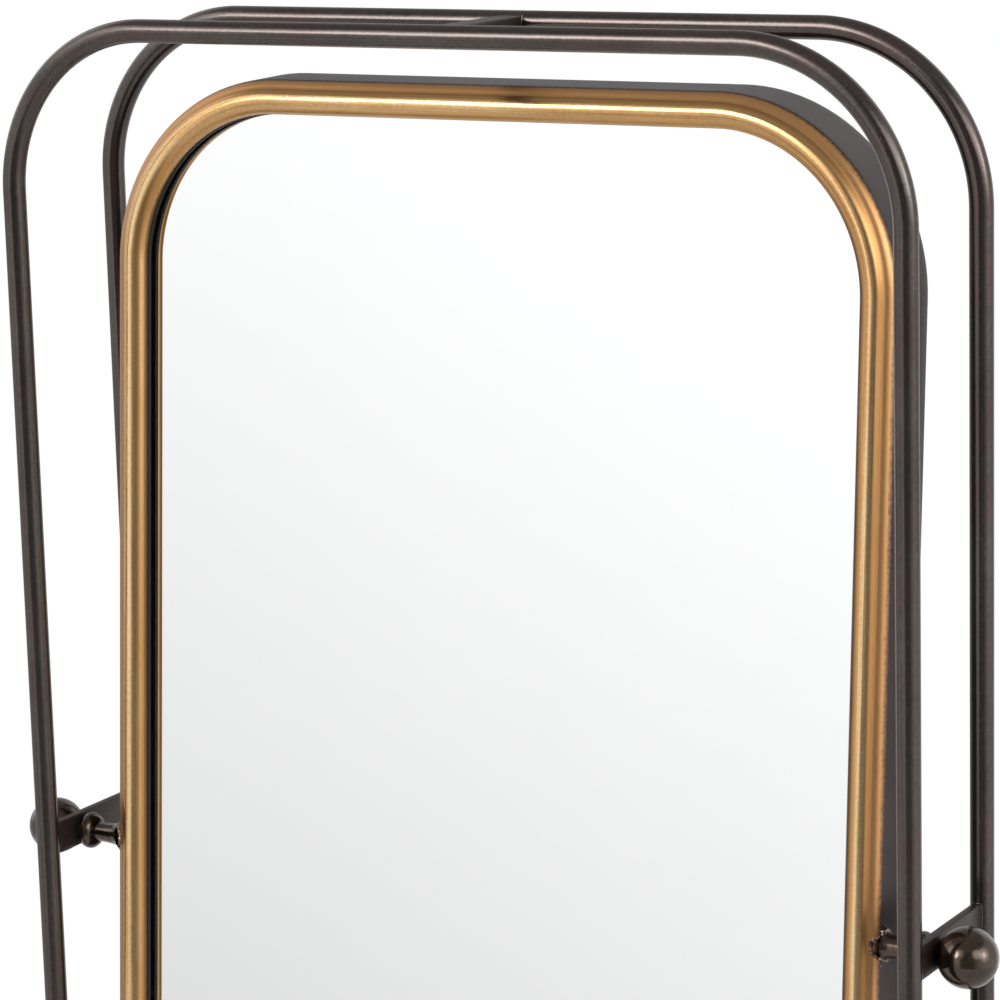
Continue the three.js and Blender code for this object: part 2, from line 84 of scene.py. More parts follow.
class Mat:
    """A material and short calls that add nodes to it."""

    def __init__(self, name):
        self.m = bpy.data.materials.new(name)
        self.m.use_nodes = True
        self.t = self.m.node_tree
        self.bsdf = self.t.nodes["Principled BSDF"]

    def node(self, kind, values=None, **props):
        n = self.t.nodes.new(kind)
        for k, v in props.items():
            setattr(n, k, v)
        for k, v in (values or {}).items():
            self.put(n.inputs[k], v)
        return n

    def put(self, socket, v):
        if isinstance(v, bpy.types.NodeSocket):
            self.t.links.new(v, socket)
        else:
            socket.default_value = v

    def math(self, op, a, b=0.0, c=0.0, clamp=False):
        n = self.t.nodes.new("ShaderNodeMath")
        n.operation = op
        n.use_clamp = clamp
        for i, v in enumerate((a, b, c)):
            self.put(n.inputs[i], v)
        return n.outputs[0]

    def ramp(self, fac, stops, interp="LINEAR"):
        n = self.t.nodes.new("ShaderNodeValToRGB")
        n.color_ramp.interpolation = interp
        e = n.color_ramp.elements
        while len(e) < len(stops):
            e.new(0.5)
        for el, (p, c) in zip(e, stops):
            el.position = p
            el.color = (*c, 1.0) if len(c) == 3 else c
        self.put(n.inputs[0], fac)
        return n.outputs[0]

    def range(self, v, a, b, c=0.0, d=1.0, smooth=True):
        n = self.t.nodes.new("ShaderNodeMapRange")
        n.interpolation_type = "SMOOTHSTEP" if smooth else "LINEAR"
        n.clamp = True if not smooth else n.clamp
        self.put(n.inputs["Value"], v)
        for k, x in (("From Min", a), ("From Max", b), ("To Min", c), ("To Max", d)):
            self.put(n.inputs[k], x)
        return n.outputs["Result"]

    def mix(self, fac, a, b, mode="MIX"):
        n = self.t.nodes.new("ShaderNodeMix")
        n.data_type = "RGBA"
        n.blend_type = mode
        n.clamp_factor = True
        self.put(n.inputs[0], fac)
        self.put(n.inputs[6], a if isinstance(a, bpy.types.NodeSocket) else (*a, 1.0))
        self.put(n.inputs[7], b if isinstance(b, bpy.types.NodeSocket) else (*b, 1.0))
        return n.outputs[2]

    def coord(self, which="Object"):
        return self.node("ShaderNodeTexCoord").outputs[which]

    def mapping(self, vec, scale=(1, 1, 1), loc=(0, 0, 0), rot=(0, 0, 0)):
        return self.node("ShaderNodeMapping", {"Vector": vec, "Scale": scale, "Location": loc, "Rotation": rot}).outputs[0]

    def noise(self, vec, scale, detail=4.0, rough=0.55, distort=0.0):
        n = self.node("ShaderNodeTexNoise", {"Vector": vec, "Scale": scale, "Detail": detail, "Roughness": rough, "Distortion": distort})
        return n.outputs["Fac"]

    def bump(self, height, strength=0.2, distance=0.001, normal=None):
        v = {"Height": height, "Strength": strength, "Distance": distance}
        if normal is not None:
            v["Normal"] = normal
        return self.node("ShaderNodeBump", v).outputs[0]

    def attr(self, name):
        return self.node("ShaderNodeAttribute", attribute_name=name).outputs["Fac"]

    def set(self, **kw):
        names = {"color": "Base Color", "rough": "Roughness", "metal": "Metallic", "normal": "Normal",
                 "coat": "Coat Weight", "coat_rough": "Coat Roughness", "spec": "Specular IOR Level",
                 "aniso": "Anisotropic", "sheen": "Sheen Weight", "ior": "IOR"}
        for k, v in kw.items():
            if k == "color" and not isinstance(v, bpy.types.NodeSocket):
                v = (*v, 1.0)
            self.put(self.bsdf.inputs[names[k]], v)
        return self.m


def bronze(name, dark, light, rough=0.3, coat=0.3, streak=1.0, metal=0.75, coat_rough=0.22, mottle=0.9):
    m = Mat(name)
    ob = m.coord("Object")
    uv = m.coord("UV")
    cloud = m.noise(ob, 14.0, 5.0, 0.6)
    fine = m.noise(ob, 330.0, 5.0, 0.62)
    drawn = m.noise(m.mapping(uv, (7.0, 420.0, 1.0)), 1.0, 5.0, 0.65)
    long = m.noise(m.mapping(uv, (2.2, 130.0, 1.0)), 1.0, 3.0, 0.5)
    a = m.math("MULTIPLY_ADD", m.math("SUBTRACT", drawn, 0.5), 1.1 * streak, 0.5)
    b = m.math("MULTIPLY_ADD", m.math("SUBTRACT", long, 0.5), 0.9 * streak, a)
    c = m.math("MULTIPLY_ADD", m.math("SUBTRACT", cloud, 0.5), mottle, b)
    f = m.math("MULTIPLY_ADD", m.math("SUBTRACT", fine, 0.5), 1.1, c, clamp=True)
    base = m.mix(f, dark, light)
    # a purple-brown cast in patches, as a burnished lacquer has
    warm = m.range(m.noise(ob, 31.0, 3.0, 0.5), 0.42, 0.66)
    base = m.mix(m.math("MULTIPLY", warm, 0.35), base, (dark[0] * 1.9, dark[1] * 1.3, dark[2] * 1.45))
    pits = m.range(m.noise(ob, 900.0, 2.0, 0.5), 0.70, 0.78)
    rough_v = m.math("ADD", m.math("MULTIPLY_ADD", m.math("SUBTRACT", fine, 0.5), 0.18, rough),
                     m.math("MULTIPLY", m.math("SUBTRACT", cloud, 0.5), 0.16))
    height = m.math("SUBTRACT", m.math("ADD", m.math("MULTIPLY", fine, 0.5), m.math("MULTIPLY", drawn, 0.35 * streak)),
                    m.math("MULTIPLY", pits, 0.9))
    return m.set(color=base, rough=rough_v, metal=metal, coat=coat, coat_rough=coat_rough,
                 normal=m.bump(height, 0.22, 0.0006))


TUBE_DARK, TUBE_LIGHT = (0.052, 0.0425, 0.0385), (0.120, 0.101, 0.091)
mat_tube = bronze("bronze_tube", TUBE_DARK, TUBE_LIGHT, rough=0.2, coat=0.25, metal=0.9)
mat_hard = bronze("bronze_turned", (0.030, 0.020, 0.014), (0.098, 0.066, 0.044), rough=0.15, coat=0.7, streak=0.2, metal=0.9, coat_rough=0.07, mottle=2.2)
mat_bar = bronze("bronze_bar", (0.040, 0.030, 0.025), (0.082, 0.065, 0.054), rough=0.42, coat=0.08, streak=0.6, metal=0.85)


def weld_material():
    """Brushed-over weld: dark lacquer with torn bright specks and a brassy rub."""
    m = Mat("bronze_weld")
    ob = m.coord("Object")
    lumps = m.noise(ob, 260.0, 5.0, 0.65)
    grit = m.noise(ob, 900.0, 4.0, 0.7)
    brassy = m.range(m.noise(ob, 120.0, 4.0, 0.6), 0.44, 0.62)
    bright = m.range(m.math("MULTIPLY_ADD", m.math("SUBTRACT", grit, 0.5), 0.6, lumps), 0.55, 0.64)
    col = m.mix(brassy, (0.040, 0.031, 0.028), (0.30, 0.19, 0.11))
    col = m.mix(bright, col, (0.78, 0.70, 0.62))
    return m.set(color=col, rough=m.math("MULTIPLY_ADD", grit, 0.25, 0.14), metal=0.95, coat=0.2, coat_rough=0.2,
                 normal=m.bump(m.math("ADD", lumps, m.math("MULTIPLY", grit, 0.5)), 0.6, 0.0009))


mat_weld = weld_material()


def brass_material(name, wall=False):
    """Antique brass, brushed lengthwise. The attribute for patina and shade is 0 on the clean crest and 1 in the
    grooves, where it is patina; on the bead's inner flank it is painted shade, strongest on the right-hand side. On the
    frame's side wall, attribute 'bare' is 1 where the lacquer is rubbed through to brass and 0 on the dark wall."""
    m = Mat(name)
    ob = m.coord("Object")
    uv = m.coord("UV")
    fine = m.noise(m.mapping(uv, (10.0, 900.0, 1.0)), 1.0, 4.0, 0.6)
    band = m.noise(m.mapping(uv, (1.6, 210.0, 1.0)), 1.0, 5.0, 0.6)
    wide = m.noise(m.mapping(uv, (0.9, 70.0, 1.0)), 1.0, 3.0, 0.5)
    cloud = m.noise(ob, 9.0, 4.0, 0.6)
    grit = m.noise(ob, 420.0, 4.0, 0.6)
    f = m.math("MULTIPLY_ADD", m.math("SUBTRACT", band, 0.5), 1.5, 0.45)
    f = m.math("MULTIPLY_ADD", m.math("SUBTRACT", fine, 0.5), 0.8, f)
    f = m.math("MULTIPLY_ADD", m.math("SUBTRACT", wide, 0.5), 0.9, f)
    f = m.math("MULTIPLY_ADD", m.math("SUBTRACT", cloud, 0.5), 0.6, f)
    f = m.math("MULTIPLY_ADD", m.math("SUBTRACT", grit, 0.5), 0.5, f, clamp=True)
    gold = m.ramp(f, [(0.0, (0.47, 0.25, 0.095)), (0.35, (0.66, 0.40, 0.18)), (0.62, (0.80, 0.56, 0.30)), (1.0, (0.92, 0.74, 0.48))])
    # patina in the grooves, and painted shade on the bead's inner flank; the slope colours below darken both
    patina_shade_value = m.math("MULTIPLY_ADD", m.math("SUBTRACT", band, 0.5), 0.9, m.attr("patina_and_shade"))
    patina_shade_value = m.math("MULTIPLY_ADD", m.math("SUBTRACT", cloud, 0.5), 0.5, patina_shade_value, clamp=True)
    slope = m.ramp(patina_shade_value, [(0.0, (0.66, 0.40, 0.18)), (0.45, (0.56, 0.285, 0.10)), (0.75, (0.38, 0.195, 0.078)), (1.0, (0.11, 0.064, 0.034))])
    col = m.mix(m.range(patina_shade_value, 0.04, 0.40), gold, slope)
    rough_v = m.math("ADD", m.math("MULTIPLY_ADD", m.math("SUBTRACT", fine, 0.5), 0.16, 0.24), m.math("MULTIPLY", patina_shade_value, 0.16))
    height = m.math("ADD", m.math("MULTIPLY", fine, 0.6), m.math("MULTIPLY", grit, 0.3))
    if not wall:
        return m.set(color=col, rough=rough_v, metal=1.0, normal=m.bump(height, 0.16, 0.0005))
    bare = m.math("MULTIPLY_ADD", m.math("SUBTRACT", band, 0.5), 1.0, m.attr("bare"))
    bare = m.math("MULTIPLY_ADD", m.math("SUBTRACT", grit, 0.5), 0.7, bare)
    bare = m.math("MULTIPLY_ADD", m.math("SUBTRACT", cloud, 0.5), 0.35, bare)
    bare = m.range(bare, 0.12, 0.80)
    cloud2 = m.noise(ob, 16.0, 5.0, 0.6)
    f2 = m.math("MULTIPLY_ADD", m.math("SUBTRACT", cloud2, 0.5), 1.1, m.math("MULTIPLY_ADD", m.math("SUBTRACT", grit, 0.5), 0.7, 0.5), clamp=True)
    dark = m.mix(f2, (0.050, 0.038, 0.037), (0.092, 0.073, 0.071))
    brownish = m.mix(0.5, col, (0.56, 0.295, 0.13))
    out = m.mix(bare, dark, brownish)
    rough_w = m.math("ADD", m.math("MULTIPLY_ADD", m.math("SUBTRACT", grit, 0.5), 0.2, 0.36), m.math("MULTIPLY", m.math("SUBTRACT", cloud2, 0.5), 0.14))
    return m.set(color=out, rough=rough_w, metal=0.85, normal=m.bump(height, 0.2, 0.0005))


mat_brass = brass_material("antique_brass")
mat_wall = brass_material("frame_side_wall", wall=True)


def simple(name, dark, light, scale=60.0, rough=0.5, metal=0.0, bump=0.2, distance=0.0005, stretch=(1, 1, 1), coat=0.0, spread=0.15):
    m = Mat(name)
    ob = m.mapping(m.coord("Object"), stretch)
    a = m.noise(ob, scale, 5.0, 0.6)
    b = m.noise(ob, scale * 6.0, 4.0, 0.6)
    f = m.math("MULTIPLY_ADD", m.math("SUBTRACT", b, 0.5), 0.6, m.math("MULTIPLY_ADD", m.math("SUBTRACT", a, 0.5), 1.4, 0.5), clamp=True)
    return m.set(color=m.mix(f, dark, light), rough=m.math("MULTIPLY_ADD", m.math("SUBTRACT", f, 0.5), spread, rough),
                 metal=metal, coat=coat, normal=m.bump(m.math("ADD", m.math("MULTIPLY", a, 0.4), b), bump, distance))


mat_black = simple("black_rebate", (0.004, 0.0032, 0.002), (0.011, 0.009, 0.006), 90.0, 0.5, 0.0, 0.15)
mat_zinc = simple("zinc_steel", (0.50, 0.51, 0.52), (0.72, 0.73, 0.74), 120.0, 0.32, 1.0, 0.12)
mat_rubber = simple("rubber", (0.012, 0.012, 0.013), (0.030, 0.030, 0.032), 200.0, 0.8, 0.0, 0.3)
mat_nylon = simple("nylon", (0.66, 0.64, 0.58), (0.80, 0.78, 0.72), 120.0, 0.5, 0.0, 0.1)
mat_backer = simple("hardboard", (0.20, 0.13, 0.08), (0.34, 0.24, 0.15), 160.0, 0.8, 0.0, 0.3)


def board_material():
    """Black-faced hardboard: a leathery pressed surface with pale fibres and scuffs."""
    m = Mat("black_board")
    ob = m.coord("Object")
    press = m.node("ShaderNodeTexVoronoi", {"Vector": ob, "Scale": 520.0}, feature="SMOOTH_F1").outputs["Distance"]
    fib = m.noise(m.mapping(ob, (1.0, 1.0, 0.25), rot=(0, 0.5, 0)), 300.0, 5.0, 0.7)
    cloud = m.noise(ob, 5.0, 5.0, 0.6)
    f = m.math("MULTIPLY_ADD", m.math("SUBTRACT", cloud, 0.5), 0.9, m.math("MULTIPLY_ADD", m.math("SUBTRACT", fib, 0.5), 0.8, 0.45), clamp=True)
    col = m.mix(f, (0.014, 0.013, 0.012), (0.046, 0.043, 0.040))
    scuff = m.range(m.noise(m.mapping(ob, (6.0, 6.0, 46.0), rot=(0, 0.35, 0)), 1.0, 6.0, 0.7), 0.64, 0.74)
    col = m.mix(m.math("MULTIPLY", scuff, 0.35), col, (0.12, 0.11, 0.10))
    return m.set(color=col, rough=m.math("MULTIPLY_ADD", f, 0.18, 0.52), metal=0.0,
                 normal=m.bump(m.math("ADD", m.math("MULTIPLY", press, 0.8), m.math("MULTIPLY", fib, 0.5)), 0.3, 0.0006))


mat_board = board_material()


def wood_material():
    m = Mat("pine_batten")
    ob = m.coord("Object")
    rings = m.node("ShaderNodeTexWave", {"Vector": m.mapping(ob, (1.2, 34.0, 34.0)), "Scale": 1.6, "Distortion": 3.5, "Detail": 3.0, "Detail Scale": 1.2},
                   wave_type="RINGS", rings_direction="X").outputs["Fac"]
    pore = m.noise(m.mapping(ob, (14.0, 700.0, 700.0)), 1.0, 3.0, 0.6)
    f = m.math("MULTIPLY_ADD", m.math("SUBTRACT", pore, 0.5), 0.5, rings, clamp=True)
    return m.set(color=m.mix(f, (0.62, 0.43, 0.23), (0.78, 0.62, 0.40)), rough=0.65, normal=m.bump(pore, 0.2, 0.0004))


mat_wood = wood_material()


def mirror_material():
    """Silvered glass, with the faintest haze so that it isn't perfectly even."""
    m = Mat("silvered_glass")
    ob = m.coord("Object")
    haze = m.noise(ob, 3.0, 4.0, 0.6)
    smear = m.noise(m.mapping(ob, (1.0, 1.0, 6.0), rot=(0, 0.6, 0)), 9.0, 5.0, 0.65)
    f = m.math("MULTIPLY_ADD", m.math("SUBTRACT", smear, 0.5), 0.6, haze, clamp=True)
    col = m.mix(f, (0.905, 0.915, 0.910), (0.935, 0.940, 0.938))
    return m.set(color=col, rough=m.math("MULTIPLY_ADD", f, 0.012, 0.004), metal=1.0)


mat_mirror = mirror_material()

# ---------------------------------------------------------------- mesh helpers


def build(name, verts, faces, mat, uvs=None, attrs=None, smooth_angle=40.0):
    """verts in mm, faces as index lists, uvs as per-face lists in metres. attrs: per-vertex floats."""
    me = bpy.data.meshes.new(name)
    me.from_pydata([tuple(c * MM for c in v) for v in verts], [], faces)
    if uvs is not None:
        layer = me.uv_layers.new(name="UVMap")
        flat = [c for face in uvs for p in face for c in p]
        layer.data.foreach_set("uv", flat)
    for k, vals in (attrs or {}).items():
        a = me.attributes.new(k, "FLOAT", "POINT")
        a.data.foreach_set("value", list(vals))
    me.materials.append(mat)
    me.validate()
    bm = bmesh.new()
    bm.from_mesh(me)
    bmesh.ops.recalc_face_normals(bm, faces=bm.faces)
    bm.to_mesh(me)
    bm.free()
    me.shade_smooth()
    me.set_sharp_from_angle(angle=math.radians(smooth_angle))
    o = bpy.data.objects.new(name, me)
    bpy.context.scene.collection.objects.link(o)
    return o


def grid_faces(n, m, close_n, close_m):
    """Quads of an n by m grid of vertices, index i*m + j."""
    out, idx = [], []
    for i in range(n if close_n else n - 1):
        for j in range(m if close_m else m - 1):
            i2, j2 = (i + 1) % n, (j + 1) % m
            out.append((i * m + j, i * m + j2, i2 * m + j2, i2 * m + j))
            idx.append((i, j))
    return out, idx


def in_frame(x, w, v):
    """A point of the mirror frame, in mm: x across, w forward of mid-depth, v up from the pivot axis."""
    y, z = -(w + SHIFT), v
    return (x, PIVOT_Y + y * math.cos(TILT) + z * math.sin(TILT), PIVOT_Z - y * math.sin(TILT) + z * math.cos(TILT))


def outline(steps):
    """Stations round the frame from the bottom middle: (corner centre x, v, direction x, v, arc length at the outer face)."""
    cx, top, bot = HALF_W - CORNER, TOP - CORNER, -BOTTOM + CORNER
    raw = []

    def line(p, q, n, d):
        for i in range(n):
            t = i / n
            raw.append((p[0] + (q[0] - p[0]) * t, p[1] + (q[1] - p[1]) * t, d[0], d[1]))

    def arc(x, v, a0):
        for i in range(steps):
            a = math.radians(a0 + 90.0 * i / steps)
            raw.append((x, v, math.cos(a), math.sin(a)))

    line((0, bot), (cx, bot), 5, (0, -1))
    arc(cx, bot, -90)
    line((cx, bot), (cx, top), 22, (1, 0))
    arc(cx, top, 0)
    line((cx, top), (-cx, top), 10, (0, 1))
    arc(-cx, top, 90)
    line((-cx, top), (-cx, bot), 22, (-1, 0))
    arc(-cx, bot, 180)
    line((-cx, bot), (0, bot), 5, (0, -1))
    pts = [(r[0] + CORNER * r[2], r[1] + CORNER * r[3]) for r in raw]
    lens = [0.0]
    for i in range(len(pts)):
        q = pts[(i + 1) % len(pts)]
        lens.append(lens[-1] + math.hypot(q[0] - pts[i][0], q[1] - pts[i][1]))
    return raw, lens


def ring(name, profile, mat, steps=20, attrs=None, smooth_angle=40.0, wobble=0.0, gain=None):
    """Sweeps a closed profile of (inset s, depth w) round the frame; gain(dx, dv, s) scales the attributes."""
    raw, lens = outline(steps)
    n, m = len(raw), len(profile)
    pl = [0.0]
    for j in range(m):
        q = profile[(j + 1) % m]
        pl.append(pl[-1] + math.hypot(q[0] - profile[j][0], q[1] - profile[j][1]))
    verts = []
    for i, (x, v, dx, dv) in enumerate(raw):
        k = wobble * noise.noise(Vector((lens[i] * 0.011, 3.1, 0.7))) if wobble else 0.0
        for s, w in profile:
            r = CORNER - s
            verts.append(in_frame(x + r * dx, w + k, v + r * dv))
    faces, idx = grid_faces(n, m, True, True)
    uvs = [((lens[i] * MM, pl[j] * MM), (lens[i] * MM, pl[j + 1] * MM), (lens[i + 1] * MM, pl[j + 1] * MM), (lens[i + 1] * MM, pl[j] * MM)) for i, j in idx]
    vals = {k: [a * (gain(st[2], st[3], p[0]) if gain else 1.0) for st in raw for a, p in zip(col, profile)] for k, col in (attrs or {}).items()}
    return build(name, verts, faces, mat, uvs, vals, smooth_angle)


def sweep(name, path, tangents, section, mat, ref=Vector((0, 1, 0)), closed_path=False, holes=None, smooth_angle=40.0, extra=None):
    """Sweeps closed section(s) of (a, b) along a path; a runs along ref x tangent and b along ref. Two sections make a pipe."""
    sections = [section] + ([holes] if holes else [])
    n = len(path)
    ls = [0.0]
    for i in range(1, n + 1):
        ls.append(ls[-1] + (Vector(path[i % n]) - Vector(path[i - 1])).length)
    verts, faces, uvs = [], [], []
    starts = []
    for sec in sections:
        base = len(verts)
        starts.append(base)
        m = len(sec)
        pl = [0.0]
        for j in range(m):
            q = sec[(j + 1) % m]
            pl.append(pl[-1] + math.hypot(q[0] - sec[j][0], q[1] - sec[j][1]))
        for i in range(n):
            t = Vector(tangents[i]).normalized()
            a = ref.cross(t).normalized()
            b = t.cross(a).normalized()
            for (u, v) in sec:
                verts.append(tuple(Vector(path[i]) + a * u + b * v))
        fs, idx = grid_faces(n, m, closed_path, True)
        for f, (i, j) in zip(fs, idx):
            faces.append(tuple(base + k for k in f))
            uvs.append(((ls[i] * MM, pl[j] * MM), (ls[i] * MM, pl[j + 1] * MM), (ls[i + 1] * MM, pl[j + 1] * MM), (ls[i + 1] * MM, pl[j] * MM)))
    if not closed_path:
        m = len(section)
        for i in (0, n - 1):
            if holes:
                for j in range(m):
                    j2 = (j + 1) % m
                    f = (starts[0] + i * m + j, starts[0] + i * m + j2, starts[1] + i * m + j2, starts[1] + i * m + j)
                    faces.append(f)
                    uvs.append(((ls[i] * MM, 0), (ls[i] * MM, 0.001), (ls[i] * MM + 0.0015, 0.001), (ls[i] * MM + 0.0015, 0)))
            else:
                f = tuple(starts[0] + i * m + j for j in range(m))
                faces.append(f)
                uvs.append(tuple((s[0] * MM + ls[i] * MM, s[1] * MM) for s in section))
    return build(name, verts, faces, mat, uvs, extra, smooth_angle)


def circle(r, n, phase=0.0):
    return [(r * math.cos(2 * math.pi * i / n + phase), r * math.sin(2 * math.pi * i / n + phase)) for i in range(n)]


def lathe(name, profile, origin, axis, mat, n=64, smooth_angle=35.0, wobble=None):
    """Turns a profile of (radius, distance along axis) round an axis; a closed profile, or one that starts and ends on the axis."""
    ax = Vector(axis).normalized()
    a = ax.orthogonal().normalized()
    b = ax.cross(a)
    on_axis = profile[0][0] == 0 and profile[-1][0] == 0
    m = len(profile)
    pl = [0.0]
    for j in range(m):
        q = profile[(j + 1) % m]
        pl.append(pl[-1] + math.hypot(q[0] - profile[j][0], q[1] - profile[j][1]))
    verts, index = [], {}
    for j, (r, d) in enumerate(profile):
        if r == 0:
            index[(0, j)] = len(verts)
            verts.append(tuple(Vector(origin) + ax * d))
            for i in range(1, n):
                index[(i, j)] = index[(0, j)]
            continue
        for i in range(n):
            t = 2 * math.pi * i / n
            k = wobble(t, r, d) if wobble else 0.0
            index[(i, j)] = len(verts)
            verts.append(tuple(Vector(origin) + ax * d + (a * math.cos(t) + b * math.sin(t)) * (r + k)))
    faces, uvs = [], []
    rmax = max(p[0] for p in profile)
    for j in range(m - 1 if on_axis else m):
        j2 = (j + 1) % m
        for i in range(n):
            i2 = (i + 1) % n
            f = [index[(i, j)], index[(i, j2)], index[(i2, j2)], index[(i2, j)]]
            u0, u1 = 2 * math.pi * rmax * i / n * MM, 2 * math.pi * rmax * (i + 1) / n * MM
            uv = [(u0, pl[j] * MM), (u0, pl[j + 1] * MM), (u1, pl[j + 1] * MM), (u1, pl[j] * MM)]
            g, h = [], []
            for q, w in zip(f, uv):
                if q not in g:
                    g.append(q)
                    h.append(w)
            if len(g) >= 3:
                faces.append(tuple(g))
                uvs.append(tuple(h))
    return build(name, verts, faces, mat, uvs, None, smooth_angle)


def rounded_box(name, lo, hi, mat, bevel=0.8, segments=3):
    """A box with rounded edges and metre-scale UVs along its longest side, in mm."""
    bm = bmesh.new()
    bmesh.ops.create_cube(bm, size=1.0)
    size = [h - l for l, h in zip(lo, hi)]
    mid = [(h + l) / 2 for l, h in zip(lo, hi)]
    for v in bm.verts:
        v.co = Vector([(c * s + m) * MM for c, s, m in zip(v.co, size, mid)])
    bmesh.ops.bevel(bm, geom=list(bm.edges), offset=bevel * MM, segments=segments, profile=0.5, affect="EDGES")
    return finish_bm(name, bm, mat, size)


def finish_bm(name, bm, mat, size=None, smooth_angle=30.0):
    bmesh.ops.recalc_face_normals(bm, faces=bm.faces)
    layer = bm.loops.layers.uv.new("UVMap")
    if size is None:
        xs = [v.co for v in bm.verts]
        size = [max(c[i] for c in xs) - min(c[i] for c in xs) for i in range(3)]
    long = max(range(3), key=lambda i: size[i])
    others = [i for i in range(3) if i != long]
    for f in bm.faces:
        side = others[0] if abs(f.normal[others[1]]) > abs(f.normal[others[0]]) else others[1]
        for lp in f.loops:
            lp[layer].uv = (lp.vert.co[long], lp.vert.co[side])
    me = bpy.data.meshes.new(name)
    bm.to_mesh(me)
    bm.free()
    me.materials.append(mat)
    me.shade_smooth()
    me.set_sharp_from_angle(angle=math.radians(smooth_angle))
    o = bpy.data.objects.new(name, me)
    bpy.context.scene.collection.objects.link(o)
    return o


def stand_for(o, body, slot, *nodes):
    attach(o, body)
    if nodes:
        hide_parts(*nodes)
    return o


# ---------------------------------------------------------------- hoops


def hoop(name, y):
    a, zb = HOOP_W / 2, RAIL_Z - HOOP_R
    path, tan = [], []

    def put(x, z, tx, tz):
        path.append((x, y, z))
        tan.append((tx, 0, tz))

    for i in range(28):
        put(-a, LEG_Z0 + (zb - LEG_Z0) * i / 28, 0, 1)
    N = 36
    for i in range(N + 1):
        t = math.pi / 2 * i / N
        put(-a + HOOP_R - HOOP_R * math.cos(t), zb + HOOP_R * math.sin(t), math.sin(t), math.cos(t))
    for i in range(1, 12):
        put(-a + HOOP_R + (2 * a - 2 * HOOP_R) * i / 12, RAIL_Z, 1, 0)
    for i in range(N, -1, -1):
        t = math.pi / 2 * i / N
        put(a - HOOP_R + HOOP_R * math.cos(t), zb + HOOP_R * math.sin(t), math.sin(t), -math.cos(t))
    for i in range(1, 29):
        put(a, zb + (LEG_Z0 - zb) * i / 28, 0, -1)
    return sweep(name, path, tan, circle(TUBE_R, 48), mat_tube, holes=circle(TUBE_R - TUBE_WALL, 32))


stand_for(hoop("front_hoop_tube", -HY), "stand", "bronze_finish", "front_hoop")
stand_for(hoop("rear_hoop_tube", HY), "stand", "bronze_finish", "rear_hoop")

# ---------------------------------------------------------------- straps, bars and rails
reach = HY - TUBE_R - GAP


def to_tube(name, x0, x1, z0, z1, centre_z, mat, node, bevel=0.9):
    """A flat bar between the front and rear tubes, with its lengthwise edges rounded."""
    bm = bmesh.new()
    nx, ny, nz = 4, 2, 6
    bmesh.ops.create_cube(bm, size=1.0)
    for v in bm.verts:
        v.co = Vector(((x0 + x1) / 2 + v.co.x * (x1 - x0), v.co.y * 2 * reach, (z0 + z1) / 2 + v.co.z * (z1 - z0))) * MM
    bmesh.ops.bevel(bm, geom=[e for e in bm.edges if abs((e.verts[0].co - e.verts[1].co).normalized().y) > 0.9],
                    offset=bevel * MM, segments=3, profile=0.5, affect="EDGES")
    o = finish_bm(name, bm, mat, [1, 200, 1])
    return o


def weld_bead(name, loop, radius, mat, lump=0.25, seed=0, n=10, ref=None):
    """A lumpy weld bead along a closed loop of points in mm."""
    pts = [Vector(p) for p in loop]
    m = len(pts)
    verts, faces = [], []
    for i, p in enumerate(pts):
        t = (pts[(i + 1) % m] - pts[i - 1]).normalized()
        a = t.orthogonal().normalized() if ref is None else t.cross(Vector(ref)).normalized()
        b = t.cross(a).normalized()
        k = radius * (1 + lump * math.sin(i * 0.9 + seed) * 0.6 + lump * noise.noise(Vector((i * 0.55, seed * 3.3, 0.2))))
        for j in range(n):
            ang = 2 * math.pi * j / n
            verts.append(tuple(p + (a * math.cos(ang) + b * math.sin(ang)) * k))
    faces, _ = grid_faces(m, n, True, True)
    uvs = [((0.002 * i, 0.0), (0.002 * i, 0.001), (0.002 * i + 0.002, 0.001), (0.002 * i + 0.002, 0.0)) for i in range(len(faces))]
    return build(name, verts, faces, mat, uvs, None, 60.0)


def rect_loop(x0, x1, z0, z1, tube_z, sign, step=1.6, r=TUBE_R, pinch=0.25):
    """Points where a bar's end meets the round tube: a rectangle in x and z laid on the tube's surface."""
    pts = []

    def side(xa, za, xb, zb):
        n = max(2, int(math.hypot(xb - xa, zb - za) / step))
        for i in range(n):
            t = i / n
            pts.append((xa + (xb - xa) * t, za + (zb - za) * t))

    side(x0, z0, x1, z0); side(x1, z0, x1, z1); side(x1, z1, x0, z1); side(x0, z1, x0, z0)
    out = []
    for x, z in pts:
        dz = max(-r * 0.98, min(r * 0.98, z - tube_z))
        out.append((x, sign * (HY - math.sqrt(r * r - dz * dz) - pinch), z))
    return out


def leg_loop(x0, x1, z0, z1, tube_x, sign, step=1.6, r=TUBE_R, pinch=0.2):
    """The same on an upright tube: the rectangle is in x and z and the tube is round in x."""
    pts = []

    def side(xa, za, xb, zb):
        n = max(2, int(math.hypot(xb - xa, zb - za) / step))
        for i in range(n):
            t = i / n
            pts.append((xa + (xb - xa) * t, za + (zb - za) * t))

    side(x0, z0, x1, z0); side(x1, z0, x1, z1); side(x1, z1, x0, z1); side(x0, z1, x0, z0)
    out = []
    for x, z in pts:
        dx = max(-r * 0.98, min(r * 0.98, x - tube_x))
        out.append((x, sign * (HY - math.sqrt(r * r - dx * dx) - pinch), z))
    return out


for label, z in (("top", RAIL_Z), ("lower", LOWER_RAIL_Z)):
    o = to_tube(f"{label}_strap_bar", -9, 9, z - 5, z + 5, z, mat_bar, None)
    stand_for(o, "stand", "bronze_finish", f"{label}_strap")
    for e, sy in (("front", -1), ("rear", 1)):
        w = weld_bead(f"{label}_strap_{e}_weld", rect_loop(-8.6, 8.6, z - 4.6, z + 4.6, z, sy), 0.9, mat_tube, seed=rng.random() * 9)
        stand_for(w, "stand", "bronze_finish")

